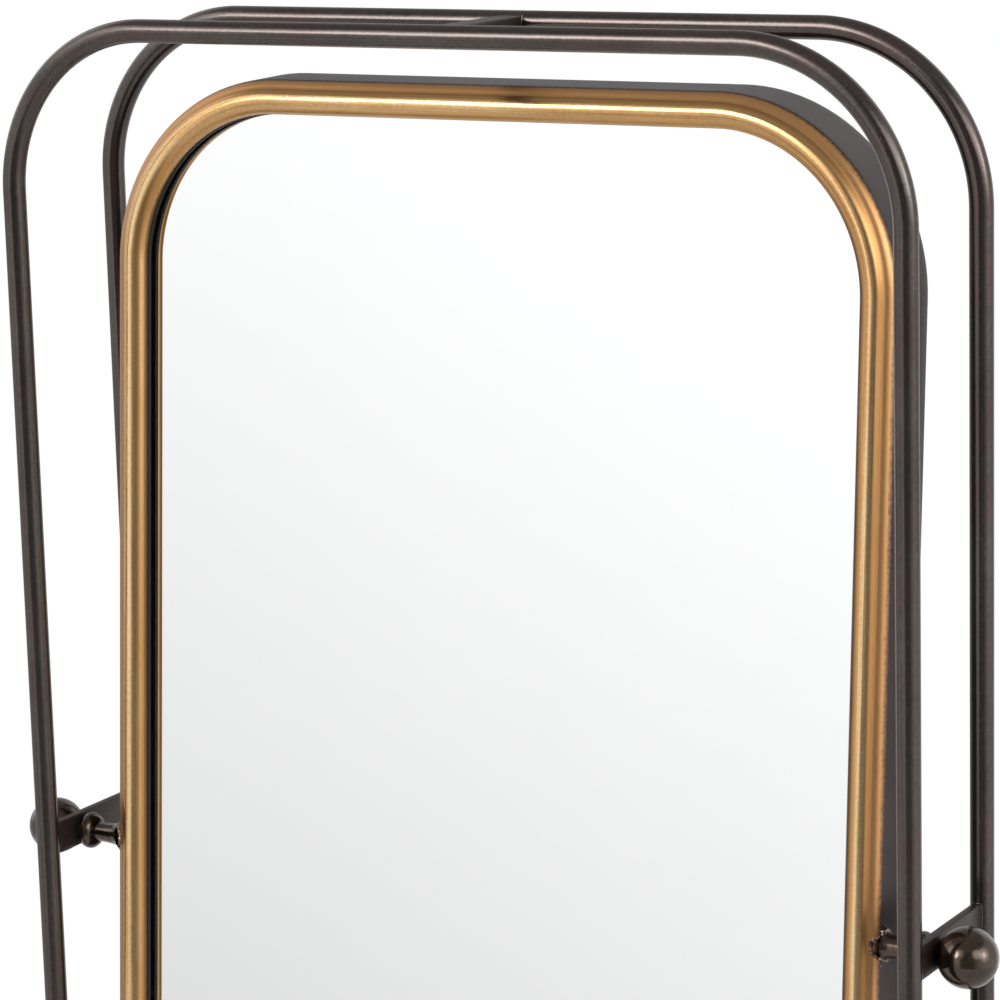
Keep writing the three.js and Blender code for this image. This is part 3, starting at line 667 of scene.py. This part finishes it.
for side, sx in (("left", -1), ("right", 1)):
    xc = sx * BAR_X
    bm = bmesh.new()
    # bar with its drilled hole: an outline in y and z with the hole cut, thickened along x
    outer = [(-reach, BAR_Z - BAR_H / 2), (reach, BAR_Z - BAR_H / 2), (reach, BAR_Z + BAR_H / 2), (-reach, BAR_Z + BAR_H / 2)]
    hole = [(PIVOT_Y + 4.3 * math.cos(2 * math.pi * i / 40), PIVOT_Z + 4.3 * math.sin(2 * math.pi * i / 40)) for i in range(40)]
    # fan between the hole and the outline, by angle from the hole's centre
    def hit(a):
        c, s = math.cos(a), math.sin(a)
        best = 1e9
        for (lim, comp, org) in ((reach, c, PIVOT_Y), (-reach, c, PIVOT_Y), (BAR_Z + BAR_H / 2, s, PIVOT_Z), (BAR_Z - BAR_H / 2, s, PIVOT_Z)):
            if abs(comp) > 1e-9:
                t = (lim - org) / comp
                if t > 0:
                    best = min(best, t)
        return (PIVOT_Y + c * best, PIVOT_Z + s * best)
    angles = sorted([2 * math.pi * i / 40 for i in range(40)] +
                    [math.atan2(z - PIVOT_Z, y - PIVOT_Y) % (2 * math.pi) for y, z in outer])
    inner_ring = [(PIVOT_Y + 4.3 * math.cos(a), PIVOT_Z + 4.3 * math.sin(a)) for a in angles]
    outer_ring = [hit(a) for a in angles]
    k = len(angles)
    vs = {}
    for lay, x in enumerate((xc - BAR_T / 2, xc + BAR_T / 2)):
        for ri, rg in enumerate((inner_ring, outer_ring)):
            for i, (y, z) in enumerate(rg):
                vs[(lay, ri, i)] = bm.verts.new(Vector((x, y, z)) * MM)
    for i in range(k):
        j = (i + 1) % k
        bm.faces.new((vs[(0, 0, i)], vs[(0, 1, i)], vs[(0, 1, j)], vs[(0, 0, j)]))
        bm.faces.new((vs[(1, 0, i)], vs[(1, 0, j)], vs[(1, 1, j)], vs[(1, 1, i)]))
        bm.faces.new((vs[(0, 0, i)], vs[(0, 0, j)], vs[(1, 0, j)], vs[(1, 0, i)]))
        bm.faces.new((vs[(0, 1, i)], vs[(1, 1, i)], vs[(1, 1, j)], vs[(0, 1, j)]))
    bmesh.ops.recalc_face_normals(bm, faces=bm.faces)
    edges = [e for e in bm.edges if len(e.link_faces) == 2 and e.calc_face_angle() > 1.0
             and not all(abs((Vector((v.co.y / MM, v.co.z / MM)) - Vector((PIVOT_Y, PIVOT_Z))).length - 4.3) < 0.1 for v in e.verts)]
    bmesh.ops.bevel(bm, geom=edges, offset=0.7 * MM, segments=3, profile=0.5, affect="EDGES")
    o = finish_bm(f"{side}_pivot_flat_bar", bm, mat_bar, [1, 200, 1])
    stand_for(o, "stand", "bronze_finish", f"{side}_pivot_bar")
    for e, sy in (("front", -1), ("rear", 1)):
        w = weld_bead(f"{side}_bar_{e}_weld", leg_loop(xc - 2.7, xc + 2.7, BAR_Z - BAR_H / 2 + 0.3, BAR_Z + BAR_H / 2 - 0.3, xc, sy), 0.95, mat_tube, seed=rng.random() * 9)
        stand_for(w, "stand", "bronze_finish")

for label, sy in (("front", -1), ("rear", 1)):
    a = HOOP_W / 2
    # coped ends: each station round the tube ends where it meets the leg's round
    n = 40
    verts, faces, uvs = [], [], []
    for r in (TUBE_R, TUBE_R - TUBE_WALL):
        for end in (-1, 1):
            for i in range(n):
                t = 2 * math.pi * i / n
                yy, zz = r * math.cos(t), r * math.sin(t)
                x = end * (a - math.sqrt((TUBE_R + GAP) ** 2 - yy * yy * 0.999))
                verts.append((x, sy * HY + yy, LOWER_RAIL_Z + zz))
    for i in range(n):
        j = (i + 1) % n
        for q in (0, 2):
            faces.append((q * n + i, q * n + j, (q + 1) * n + j, (q + 1) * n + i))
            uvs.append(((0, i * 0.00126), (0, (i + 1) * 0.00126), (0.66, (i + 1) * 0.00126), (0.66, i * 0.00126)))
        for q in (0, 1):
            faces.append((q * n + i, q * n + j, (q + 2) * n + j, (q + 2) * n + i))
            uvs.append(((0, 0), (0, 0.001), (0.001, 0.001), (0.001, 0)))
    o = build(f"{label}_lower_rail_tube", verts, faces, mat_tube, uvs)
    stand_for(o, "stand", "bronze_finish", f"{label}_lower_rail")
    for s, sx in (("left", -1), ("right", 1)):
        loop = []
        for i in range(34):
            t = 2 * math.pi * i / 34
            yy, zz = 8.2 * math.cos(t), 8.2 * math.sin(t)
            x = sx * (a - math.sqrt(max(0.5, TUBE_R ** 2 - yy * yy)) - 0.35)
            if abs(yy) > 7.9:
                x = sx * (a - 1.2)
            loop.append((x, sy * HY + yy, LOWER_RAIL_Z + zz))
        w = weld_bead(f"{label}_rail_{s}_weld", loop, 1.0, mat_tube, seed=rng.random() * 9)
        stand_for(w, "stand", "bronze_finish")

# ---------------------------------------------------------------- feet
for side, sx in (("left", -1), ("right", 1)):
    node = NODES[f"{side}_runner_foot"]
    bm = bmesh.new()
    bm.from_mesh(node.data)
    bmesh.ops.remove_doubles(bm, verts=bm.verts, dist=1e-5)
    bmesh.ops.dissolve_limit(bm, angle_limit=0.01, verts=bm.verts, edges=bm.edges)
    edges = [e for e in bm.edges if len(e.link_faces) == 2 and e.calc_face_angle() > 1.0]
    bmesh.ops.bevel(bm, geom=edges, offset=0.9 * MM, segments=3, profile=0.5, affect="EDGES")
    bmesh.ops.triangulate(bm, faces=[f for f in bm.faces if len(f.verts) > 4])
    o = finish_bm(f"{side}_foot_bar", bm, mat_bar, [1, 200, 1], 25.0)
    stand_for(o, "stand", "bronze_finish", f"{side}_runner_foot")
    for end, sy in (("front", -1), ("rear", 1)):
        x = sx * BAR_X
        g = lathe(f"{side}_{end}_rubber_glide", [
            (0, 0.0), (11.6, 0.0), (12.6, 0.25), (13.3, 0.9), (13.75, 1.9), (14, 3.2), (14, 6.6), (13.7, 7.3), (13.1, 7.65), (12.4, 7.7),
            (4, 7.7), (4, 14.2), (3.4, 15), (0, 15)], (x, sy * 192, 0), (0, 0, 1), mat_rubber, 48)
        stand_for(g, "stand", "rubber", f"{side}_{end}_glide")
        # hex bolt with a chamfered head and washer face
        prof = []
        verts, faces = [], []
        y = sy * HY
        layers = [(6.2, 2.7, False), (7.0, 3.1, True), (7.5, 3.9, True), (7.5, 7.2, True), (6.4, 7.2, False), (6.4, 7.7, False), (4, 7.7, False), (4, 36.2, False), (3.3, 36.7, False)]
        nn = 48
        for (r, z, hexed) in layers:
            for i in range(nn):
                t = 2 * math.pi * i / nn
                rr = r
                if hexed:
                    k = math.cos(math.pi / 6) / math.cos((t % (math.pi / 3)) - math.pi / 6)
                    rr = min(r, 7.4 * k)
                verts.append((x + rr * math.cos(t), y + rr * math.sin(t), z))
        fs, _ = grid_faces(len(layers), nn, False, True)
        faces = list(fs)
        faces.append(tuple(range(nn)))
        faces.append(tuple((len(layers) - 1) * nn + i for i in range(nn)))
        b = build(f"{side}_{end}_hex_bolt", verts, faces, mat_zinc, None, None, 30.0)
        stand_for(b, "stand", "zinc_steel", f"{side}_{end}_leg_bolt")

# ---------------------------------------------------------------- mirror frame


def smooth_profile(points, per=6, sharp=()):
    """A finer profile through the same points; indices in sharp stay corners."""
    out = []
    n = len(points)
    for i in range(n - 1):
        p0 = points[i - 1] if i > 0 and i not in sharp else points[i]
        p1, p2 = points[i], points[i + 1]
        p3 = points[i + 2] if i + 2 < n and (i + 1) not in sharp else points[i + 1]
        for k in range(per):
            t = k / per
            q = []
            for a in (0, 1):
                q.append(0.5 * ((2 * p1[a]) + (-p0[a] + p2[a]) * t + (2 * p0[a] - 5 * p1[a] + 4 * p2[a] - p3[a]) * t * t
                                + (-p0[a] + 3 * p1[a] - 3 * p2[a] + p3[a]) * t ** 3))
            out.append(tuple(q))
    out.append(points[-1])
    return out


# the front of the frame in section, from the side wall over the shoulder to the bead's crest
FRONT = [(0.03, 18.75), (0.4, 21.55), (1.0, 23.36), (1.8, 24.8), (2.6, 25.83), (3.4, 26.6), (4.2, 27.18), (4.9, 27.59), (5.6, 28.0),
         (6.4, 28.55), (7.4, 29.46), (8.4, 30.5), (9.4, 31.5), (10.3, 32.18), (11.3, 32.7), (12.0, 32.95), (13.3, 33.24), (14.4, 33.32)]
FINE = smooth_profile(FRONT, 4)
SPLIT = 7.15


def wall_profile():
    """Side wall, flared to the rear, sloping shoulder and rear hem, with how far each point is rubbed to brass."""
    p, bare, patina_shade_value = [], [], []

    def put(s, w, b, q):
        p.append((s, w)); bare.append(b); patina_shade_value.append(q)

    put(-2.9, -18.48, 0.0, 0.6)
    put(-3.25, -18.3, 0.0, 0.6)
    put(-3.34, -17.9, 0.0, 0.6)
    for w in (-12.0, -5.0, 2.0, 9.0, 14.0):
        put(-3.4 * (18.75 - w) / 37.25 + 0.02, w, 0.0, 0.6)
    for s, w in FINE:
        if s > SPLIT:
            break
        k = min(1.0, max(0.0, (s + 0.15) / 2.9))
        put(s, w, k, 0.75 - 0.25 * k)
    put(SPLIT, 29.2, 1.0, 0.62)
    for s, w in ((7.12, 27.8), (6.9, 27.6), (5.9, 26.8), (4.9, 26.1), (3.8, 25.2), (2.8, 23.8), (2.0, 22.2), (1.6, 20.6), (1.5, 18.75), (-1.9, -17.0)):
        put(s, w, 0.0, 1.0)
    put(7.7, -17.0, 0.0, 1.0)
    put(8.0, -17.3, 0.0, 1.0)
    put(8.0, -18.2, 0.0, 1.0)
    put(7.7, -18.48, 0.0, 1.0)
    return p, bare, patina_shade_value


prof, bare, patina_shade_value = wall_profile()
casing = ring("frame_side_casing", prof, mat_wall, 30, {"bare": bare, "patina_and_shade": patina_shade_value}, 50.0)
stand_for(casing, "mirror", "bronze_finish", "frame_casing")


def bead_profile():
    """Pressed bead: its outer side runs on from the shoulder's slope and its inner flank is deep."""
    sc, s1, w0, h, th = 14.4, 24.28, 25.0, 8.32, 1.2
    p, patina_shade_value = [(7.26, w0 - 1.0)], [1.0]
    p.append((7.26, 29.29)); patina_shade_value.append(0.60)
    for s, w in FINE:
        if s > 7.35:
            p.append((s, w))
            patina_shade_value.append(max(0.0, min(1.0, (11.6 - s) / 4.4)) * 0.62)
    # painted shade: on the crest and inner flank the value rises towards the inner edge
    N = 24
    for i in range(1, N + 1):
        a = math.pi / 2 * (1 - i / N)
        d = math.degrees(a)
        p.append((sc + (s1 - sc) * math.cos(a), w0 + h * math.sin(a)))
        patina_shade_value.append(max(0.0, min(1.0, (84 - d) / 40)))
    p.append((s1, w0 - 2.6)); patina_shade_value.append(1.0)
    p.append((s1 - 0.3, w0 - 3.0)); patina_shade_value.append(1.0)
    p.append((s1 - th, w0 - 3.0)); patina_shade_value.append(1.0)
    for i in range(10):
        a = math.pi / 2 * i / 10
        p.append((sc + (s1 - sc - th) * math.cos(a), w0 + (h - th) * math.sin(a))); patina_shade_value.append(1.0)
    for s, w in ((14.4, 32.1), (12.3, 31.8), (11.0, 31.2), (10.1, 30.5), (8.5, 28.9), (8.5, w0 - 1.0)):
        p.append((s, w)); patina_shade_value.append(1.0)
    return p, patina_shade_value


bp, bead_patina_and_shade = bead_profile()
# painted shade: the inner flank is painted darker on the right-hand side than on the left
bead = ring("brass_bead_moulding", bp, mat_brass, 40, {"patina_and_shade": bead_patina_and_shade}, 50.0,
            gain=lambda dx, dv, s: 1.0 if s < 14.4 else 0.30 + 0.72 * max(0.0, dx) ** 2)
stand_for(bead, "mirror", "antique_brass", "brass_bead")

rebate = ring("glass_rebate_strip", [
    (1.8, 18.3), (24.3, 18.3), (24.6, 18.6), (24.6, 21.4), (24.4, 21.7), (22.8, 21.7), (22.8, 19.8), (1.8, 19.8)],
    mat_black, 30, None, 40.0)
stand_for(rebate, "mirror", "black_paint", "glass_rebate")


def plate(name, inset, w0, w1, mat, bevel=0.5, steps=20, bands=()):
    """A flat plate with the frame's outline; its rim is rounded by bevel."""
    raw, lens = outline(steps)
    loops = [(inset + bevel, w0), (inset, w0 + bevel), (inset, w1 - bevel), (inset + bevel, w1)]
    verts = []
    for s, w in loops:
        for (x, v, dx, dv) in raw:
            r = CORNER - s
            verts.append(in_frame(x + r * dx, w, v + r * dv))
    n = len(raw)
    faces, _ = grid_faces(4, n, False, True)
    faces.append(tuple(range(n)))
    faces.append(tuple(3 * n + i for i in range(n)))
    return build(name, verts, faces, mat, None, None, 30.0)


# the silvered face lies just under the front of the glass, where its image seems to be
glass = plate("mirror_glass_pane", 14, 14.0, 15.6, mat_mirror, 0.4)
stand_for(glass, "mirror", "mirror", "mirror_glass")


backer = plate("glass_backing_board", 12, 10.7, 13.7, mat_backer, 0.4)
stand_for(backer, "mirror", "fibreboard", "glass_backer")
panel = plate("rear_board", 9, -14.4, -11.4, mat_board, 0.6)
stand_for(panel, "mirror", "black_board", "back_panel")


def place_in_frame(o):
    """Turns a piece built in frame axes (x, -w, v) into the room, leaning back with the mirror."""
    m = Matrix.Translation(Vector((0, PIVOT_Y, PIVOT_Z)) * MM) @ Matrix.Rotation(-TILT, 4, "X")
    o.data.transform(m)
    return o


BATTENS = (("upper", 290.0), ("middle", -75.0), ("lower", -480.0))
for label, v in BATTENS:
    y_lo, y_hi = -(10.7 - GAP + SHIFT), -(-11.4 + GAP + SHIFT)
    o = rounded_box(f"{label}_pine_batten", (-276.4, min(y_lo, y_hi), v - 11), (276.4, max(y_lo, y_hi), v + 11), mat_wood, 0.8, 2)
    stand_for(place_in_frame(o), "mirror", "softwood", f"{label}_batten")

SCREWS = {"upper_left": (-285.4, 330.0), "lower_left": (-285.4, -430.0), "upper_right": (285.4, 330.0), "lower_right": (285.4, -430.0),
          "top": (0.0, TOP - 15.0), "bottom": (0.0, -BOTTOM + 15.0)}


def pan_head_screw(name, x, v, turn):
    """Pan-head screw with a cross recess, its head on the rear board and its point forwards."""
    verts, faces = [], []
    n, rings = 48, [0.0, 0.35, 0.7, 1.05, 1.4, 1.75, 2.1, 2.45, 2.8, 3.15, 3.45, 3.7, 3.88, 3.97, 4.0]
    centre = 0

    def dome(r):
        if r <= 2.6:
            return 2.3 - 0.35 * (r / 2.6) ** 2
        return 1.95 - 0.95 * ((r - 2.6) / 1.4) ** 2.2

    def cross(a, r):
        px, pv = r * math.cos(a + turn), r * math.sin(a + turn)
        d = min(abs(px), abs(pv))
        if r > 2.35:
            return 0.0
        k = max(0.0, min(1.0, (0.42 - d) / 0.14))
        end = max(0.0, min(1.0, (2.3 - r) / 0.5))
        return -1.1 * k * end
    verts.append((x, dome(0) + cross(0, 0), v))
    for r in rings[1:]:
        for i in range(n):
            a = 2 * math.pi * i / n
            verts.append((x + r * math.cos(a), dome(r) + cross(a, r), v + r * math.sin(a)))
    for r, h in ((4.0, 0.0), (1.9, 0.0), (1.9, -7.7), (0.4, -9.6)):
        for i in range(n):
            a = 2 * math.pi * i / n
            verts.append((x + r * math.cos(a), h, v + r * math.sin(a)))
    total = len(rings) - 1 + 4
    for i in range(n):
        faces.append((0, 1 + i, 1 + (i + 1) % n))
    for k in range(total - 1):
        for i in range(n):
            j = (i + 1) % n
            faces.append((1 + k * n + i, 1 + (k + 1) * n + i, 1 + (k + 1) * n + j, 1 + k * n + j))
    faces.append(tuple(1 + (total - 1) * n + i for i in range(n)))
    # head height becomes depth behind the board
    base = 14.4 + GAP - SHIFT
    verts = [(p[0], base + p[1], p[2]) for p in verts]
    o = build(name, verts, faces, mat_zinc, None, None, 35.0)
    return place_in_frame(o)


for i, (label, (x, v)) in enumerate(SCREWS.items()):
    o = pan_head_screw(f"{label}_pan_screw", x, v, 0.4 + i * 0.9)
    stand_for(o, "mirror", "zinc_steel", f"{label}_screw")

# ---------------------------------------------------------------- pivots and knobs


def wall_inset(w):
    """Inset of the side wall's outer face at depth w."""
    pts = [(-18.5, -3.4), (18.75, 0.0), (21.6, 0.4), (23.4, 1.0), (24.8, 1.8), (25.8, 2.6), (26.6, 3.4), (27.6, 4.9)]
    for (w0, s0), (w1, s1) in zip(pts, pts[1:]):
        if w <= w1:
            return s0 + (s1 - s0) * max(0.0, (w - w0)) / (w1 - w0)
    return 4.9


for side, sx in (("left", -1), ("right", 1)):
    org, ax = (0, PIVOT_Y, PIVOT_Z), (sx, 0, 0)
    x0 = HALF_W + 1.4
    stem = smooth_profile([(9.55, x0 + 0.0), (8.75, x0 + 1.5), (8.3, x0 + 3.2), (7.95, x0 + 5.0), (7.65, x0 + 8.0), (7.35, x0 + 11), (7.1, x0 + 16), (6.97, 322.7)], 5)
    stem = [(4.3, x0)] + stem + [(4.3, 322.7)]
    o = lathe(f"{side}_turned_stem", stem, org, ax, mat_hard, 64)
    stand_for(o, "mirror", "bronze_hardware", f"{side}_pivot_stem")

    c0, c1 = 323.0, 332.4
    cl = c1 - c0
    dome = smooth_profile([(9.1, c0), (10.2, c0 + cl * 0.05), (11.4, c0 + cl * 0.15), (12.7, c0 + cl * 0.34), (13.15, c0 + cl * 0.56), (12.85, c0 + cl * 0.77), (12.1, c0 + cl * 0.9), (11.7, c0 + cl * 0.96)], 5)
    collar = [(4.3, c0)] + dome + [(11.3, c1), (4.3, c1)]
    o = lathe(f"{side}_domed_collar", collar, org, ax, mat_hard, 72, 45.0)
    stand_for(o, "mirror", "bronze_hardware", f"{side}_collar")

    w0, w1 = 332.7, 333.7
    o = lathe(f"{side}_nylon_washer", [(4.3, w0), (9.7, w0), (10, w0 + 0.3), (10, w1 - 0.3), (9.7, w1), (4.3, w1)], org, ax, mat_nylon, 56)
    stand_for(o, "mirror", "nylon", f"{side}_friction_washer")

    R, cx, k0 = 20.2, 359.6, BAR_X + BAR_T / 2 + 0.35
    neck = 9.6
    prof = [(4.3, k0), (9.2, k0), (9.55, k0 + 0.35)]
    a_join = math.asin((neck + 0.35) / R)
    x_join = cx - R * math.cos(a_join)
    prof += [(9.55, x_join - 0.45), (9.7, x_join - 0.15)]
    for i in range(49):
        a = a_join + (math.pi - a_join) * i / 48
        prof.append((0.0 if i == 48 else R * math.sin(a), cx - R * math.cos(a)))
    body = prof
    # outside first, then the bore back to the mouth
    pts = body + [(0.0, cx - 5.0), (3.6, cx - 5.0), (4.3, cx - 5.7)]
    ax_v = Vector(ax)
    n = 96
    a1 = ax_v.orthogonal().normalized()
    b1 = ax_v.cross(a1)
    verts, index = [], []
    for (r, d) in pts:
        row = []
        if r == 0.0:
            row = [len(verts)] * n
            verts.append(tuple(Vector(org) + ax_v * d))
        else:
            for i in range(n):
                t = 2 * math.pi * i / n
                row.append(len(verts))
                verts.append(tuple(Vector(org) + ax_v * d + (a1 * math.cos(t) + b1 * math.sin(t)) * r))
        index.append(row)
    faces, uvs = [], []
    pole = next(i for i, q in enumerate(pts) if q[0] == 0.0)
    run = list(range(len(pts))) + [0]
    for k in range(len(run) - 1):
        p, q = run[k], run[k + 1]
        if p == pole and q == pole + 1:
            continue                    # from the far pole to the bore's bottom: not a surface
        for i in range(n):
            j = (i + 1) % n
            f = [index[p][i], index[q][i], index[q][j], index[p][j]]
            g = []
            for v in f:
                if v not in g:
                    g.append(v)
            if len(g) >= 3:
                faces.append(tuple(g))
                base = [(i * 0.0012, p * 0.001), (i * 0.0012, q * 0.001), (j * 0.0012, q * 0.001), (j * 0.0012, p * 0.001)]
                uvs.append(tuple(base[f.index(v)] for v in g))
    o = build(f"{side}_turned_ball_knob", verts, faces, mat_hard, uvs, None, 40.0)
    stand_for(o, f"{side}_knob", "bronze_hardware", f"{side}_ball_knob")

    # bolt: chamfered hex head inside the casing and a round shank out to the knob
    h1 = HALF_W - 3.3
    layers = [(5.3, h1 - 3.6, False), (6.3, h1 - 3.2, True), (6.3, h1 - 0.4, True), (5.4, h1, False), (4, h1, False), (4, 353.2, False), (3.6, 353.6, False)]
    verts = []
    nn = 48
    for (r, d, hexed) in layers:
        for i in range(nn):
            t = 2 * math.pi * i / nn
            rr = r
            if hexed:
                k = math.cos(math.pi / 6) / math.cos((t % (math.pi / 3)) - math.pi / 6)
                rr = min(r, 6.2 * k)
            verts.append(tuple(Vector(org) + ax_v * d + (a1 * math.cos(t) + b1 * math.sin(t)) * rr))
    fs, _ = grid_faces(len(layers), nn, False, True)
    faces = list(fs) + [tuple(range(nn)), tuple((len(layers) - 1) * nn + i for i in range(nn))]
    o = build(f"{side}_pivot_hex_bolt", verts, faces, mat_zinc, None, None, 30.0)
    stand_for(o, "mirror", "zinc_steel", f"{side}_pivot_bolt")

    # weld round the stem, following the casing's flare and shoulder
    loop = []
    m = 60
    ahead = Vector((0, -math.cos(TILT), math.sin(TILT)))
    for i in range(m):
        t = 2 * math.pi * i / m
        d = a1 * math.cos(t) + b1 * math.sin(t)
        r = 9.7 + 1.1 * noise.noise(Vector((i * 0.26, sx * 2.0, 5.0))) + 0.4 * math.sin(3 * t + sx)
        loop.append(tuple(Vector(org) + ax_v * (HALF_W - wall_inset(-SHIFT + r * d.dot(ahead)) + 0.75) + d * r))
    w = weld_bead(f"{side}_stem_weld", loop, 1.35, mat_weld, lump=0.55, seed=3.0 + sx)
    stand_for(w, "mirror", "bronze_hardware")
    # spatter beside it, on the shoulder and the wall
    for k in range(7):
        t = rng.random() * 2 * math.pi
        r = 11.2 + 4.2 * rng.random()
        d = a1 * math.cos(t) + b1 * math.sin(t)
        if d.dot(ahead) * r > 9.0:
            d = -d
        size = 0.35 + 0.5 * rng.random()
        at = Vector(org) + ax_v * (HALF_W - wall_inset(-SHIFT + r * d.dot(ahead)) + size * 0.55) + d * r
        prof = [(size * math.sin(math.pi * q / 8) if 0 < q < 8 else 0.0, size * 0.6 * -math.cos(math.pi * q / 8)) for q in range(9)]
        s = lathe(f"{side}_spatter_{k + 1}", prof, tuple(at), ax, mat_weld, 16)
        stand_for(s, "mirror", "bronze_hardware")

# ---------------------------------------------------------------- carried-over CAD brackets, plugs and bolts get the zinc finish
SHOWN = [n for n in NODES if not NODES[n].hide_render]
for n in SHOWN:
    o = NODES[n]
    if "bracket" in n or "plug" in n or "bolt" in n:
        o.data.materials.clear()
        o.data.materials.append(mat_zinc)

# ---------------------------------------------------------------- floor and light


def floor():
    m = Mat("pale_floor")
    ob = m.coord("Object")
    grain = m.noise(ob, 60.0, 5.0, 0.6)
    col = m.mix(grain, (0.80, 0.80, 0.79), (0.86, 0.86, 0.85))
    m.set(color=col, rough=0.75, normal=m.bump(grain, 0.05, 0.0005))
    me = bpy.data.meshes.new("floor")
    n, R = 128, 2.4
    verts = [(0, 0, 0)]
    for k, r in enumerate((0.4, 0.9, 1.4, 1.9, R)):
        verts += [(r * math.cos(2 * math.pi * i / n), r * math.sin(2 * math.pi * i / n), 0) for i in range(n)]
    faces = [(0, 1 + i, 1 + (i + 1) % n) for i in range(n)]
    for k in range(4):
        for i in range(n):
            j = (i + 1) % n
            faces.append((1 + k * n + i, 1 + (k + 1) * n + i, 1 + (k + 1) * n + j, 1 + k * n + j))
    me.from_pydata([(x, y, -0.0002) for x, y, z in verts], [], faces)
    me.materials.append(m.m)
    o = bpy.data.objects.new("studio_floor", me)
    bpy.context.scene.collection.objects.link(o)
    return o


floor()

# The studio: a direction-based surround. Azimuth is measured from the front (-Y) towards +X, elevation from the horizon.
world = bpy.data.worlds.new("studio")
bpy.context.scene.world = world
world.use_nodes = True
wt = world.node_tree
for nd in list(wt.nodes):
    wt.nodes.remove(nd)


class World(Mat):
    def __init__(self, tree):
        self.t = tree


W = World(wt)
vec = W.coord("Generated")
sep = W.node("ShaderNodeSeparateXYZ", {"Vector": vec})
az = W.math("MULTIPLY", W.math("ARCTAN2", sep.outputs["X"], W.math("MULTIPLY", sep.outputs["Y"], -1.0)), 180 / math.pi)
el = W.math("MULTIPLY", W.math("ARCSINE", sep.outputs["Z"]), 180 / math.pi)


def window(v, lo, hi, soft):
    """1 between lo and hi, falling off over soft either side."""
    a = W.range(v, lo - soft, lo + soft)
    b = W.range(v, hi - soft, hi + soft)
    return W.math("MULTIPLY", a, W.math("SUBTRACT", 1.0, b))


def panel_light(a0, a1, e0, e1, value, sa=8.0, se=6.0):
    return W.math("MULTIPLY", W.math("MULTIPLY", window(az, a0, a1, sa), window(el, e0, e1, se)), value)


def lamp(a, e, inner, outer, value):
    """A round soft light towards one direction."""
    ar, er = math.radians(a), math.radians(e)
    d = W.node("ShaderNodeVectorMath", {0: vec, 1: (math.sin(ar) * math.cos(er), -math.cos(ar) * math.cos(er), math.sin(er))}, operation="DOT_PRODUCT")
    k = W.range(d.outputs["Value"], math.cos(math.radians(outer)), math.cos(math.radians(inner)))
    return W.math("MULTIPLY", k, value)


# walls of the studio, by azimuth
AROUND = [(-180, 0.80), (-165, 0.56), (-152, 0.44), (-137, 0.40), (-97, 0.44), (-77, 0.62), (-57, 0.92), (-37, 0.98), (-17, 0.60), (3, 0.18), (43, 0.22),
          (63, 0.72), (83, 1.06), (103, 1.10), (123, 0.96), (143, 0.60), (158, 0.86), (180, 0.95)]
walls = W.ramp(W.math("MULTIPLY_ADD", az, 1 / 360.0, 0.5), [((a + 180) / 360.0, (v / 2, v / 2, v / 2)) for a, v in AROUND])
walls = W.math("MULTIPLY", walls, 2.0)
level = window(el, -42, 40, 8.0)
rest = W.range(el, -50.0, 50.0, 0.62, 0.34)
total = W.math("ADD", W.math("MULTIPLY", walls, level), W.math("MULTIPLY", rest, W.math("SUBTRACT", 1.0, level)))
# the white panel that the glass shows, a little brighter to the right and upwards
pane = W.math("MULTIPLY_ADD", W.math("ADD", az, 38.0), 0.0121, 0.79)
pane = W.math("MULTIPLY_ADD", W.math("ADD", el, 9.5), 0.0205, pane)
pane = W.math("MINIMUM", W.math("MAXIMUM", pane, 0.6), 1.18)
mask = W.math("MULTIPLY", window(az, -54, -8, 6.0), window(el, -26, 9, 7.0))
total = W.math("ADD", W.math("MULTIPLY", pane, mask), W.math("MULTIPLY", total, W.math("SUBTRACT", 1.0, mask)))
# key light high on the left, with its glow, and a soft light on the right
total = W.math("ADD", total, lamp(-27, 22, 8.0, 13.0, 8.0))
total = W.math("ADD", total, panel_light(-70, 0, 16, 40, 1.3, 12.0, 6.0))
total = W.math("ADD", total, lamp(88, 17, 5.0, 26.0, 2.2))
total = W.math("ADD", total, lamp(88, 17, 2.0, 11.0, 4.5))
total = W.math("ADD", total, lamp(60, 26, 5.0, 21.0, 2.2))
# a white card on the far left, above eye level
total = W.math("ADD", total, panel_light(-132, -84, 0, 42, 0.6, 8.0, 4.0))
lp = W.node("ShaderNodeLightPath")
total = W.math("MULTIPLY_ADD", W.math("SUBTRACT", 1.02, total), lp.outputs["Is Camera Ray"], total)
bg = W.node("ShaderNodeBackground", {"Strength": 1.0})
comb = W.node("ShaderNodeCombineColor", {"Red": total, "Green": total, "Blue": total})
W.put(bg.inputs["Color"], comb.outputs[0])
out = W.node("ShaderNodeOutputWorld")
W.put(out.inputs["Surface"], bg.outputs[0])

bpy.context.scene.view_settings.view_transform = "Standard"
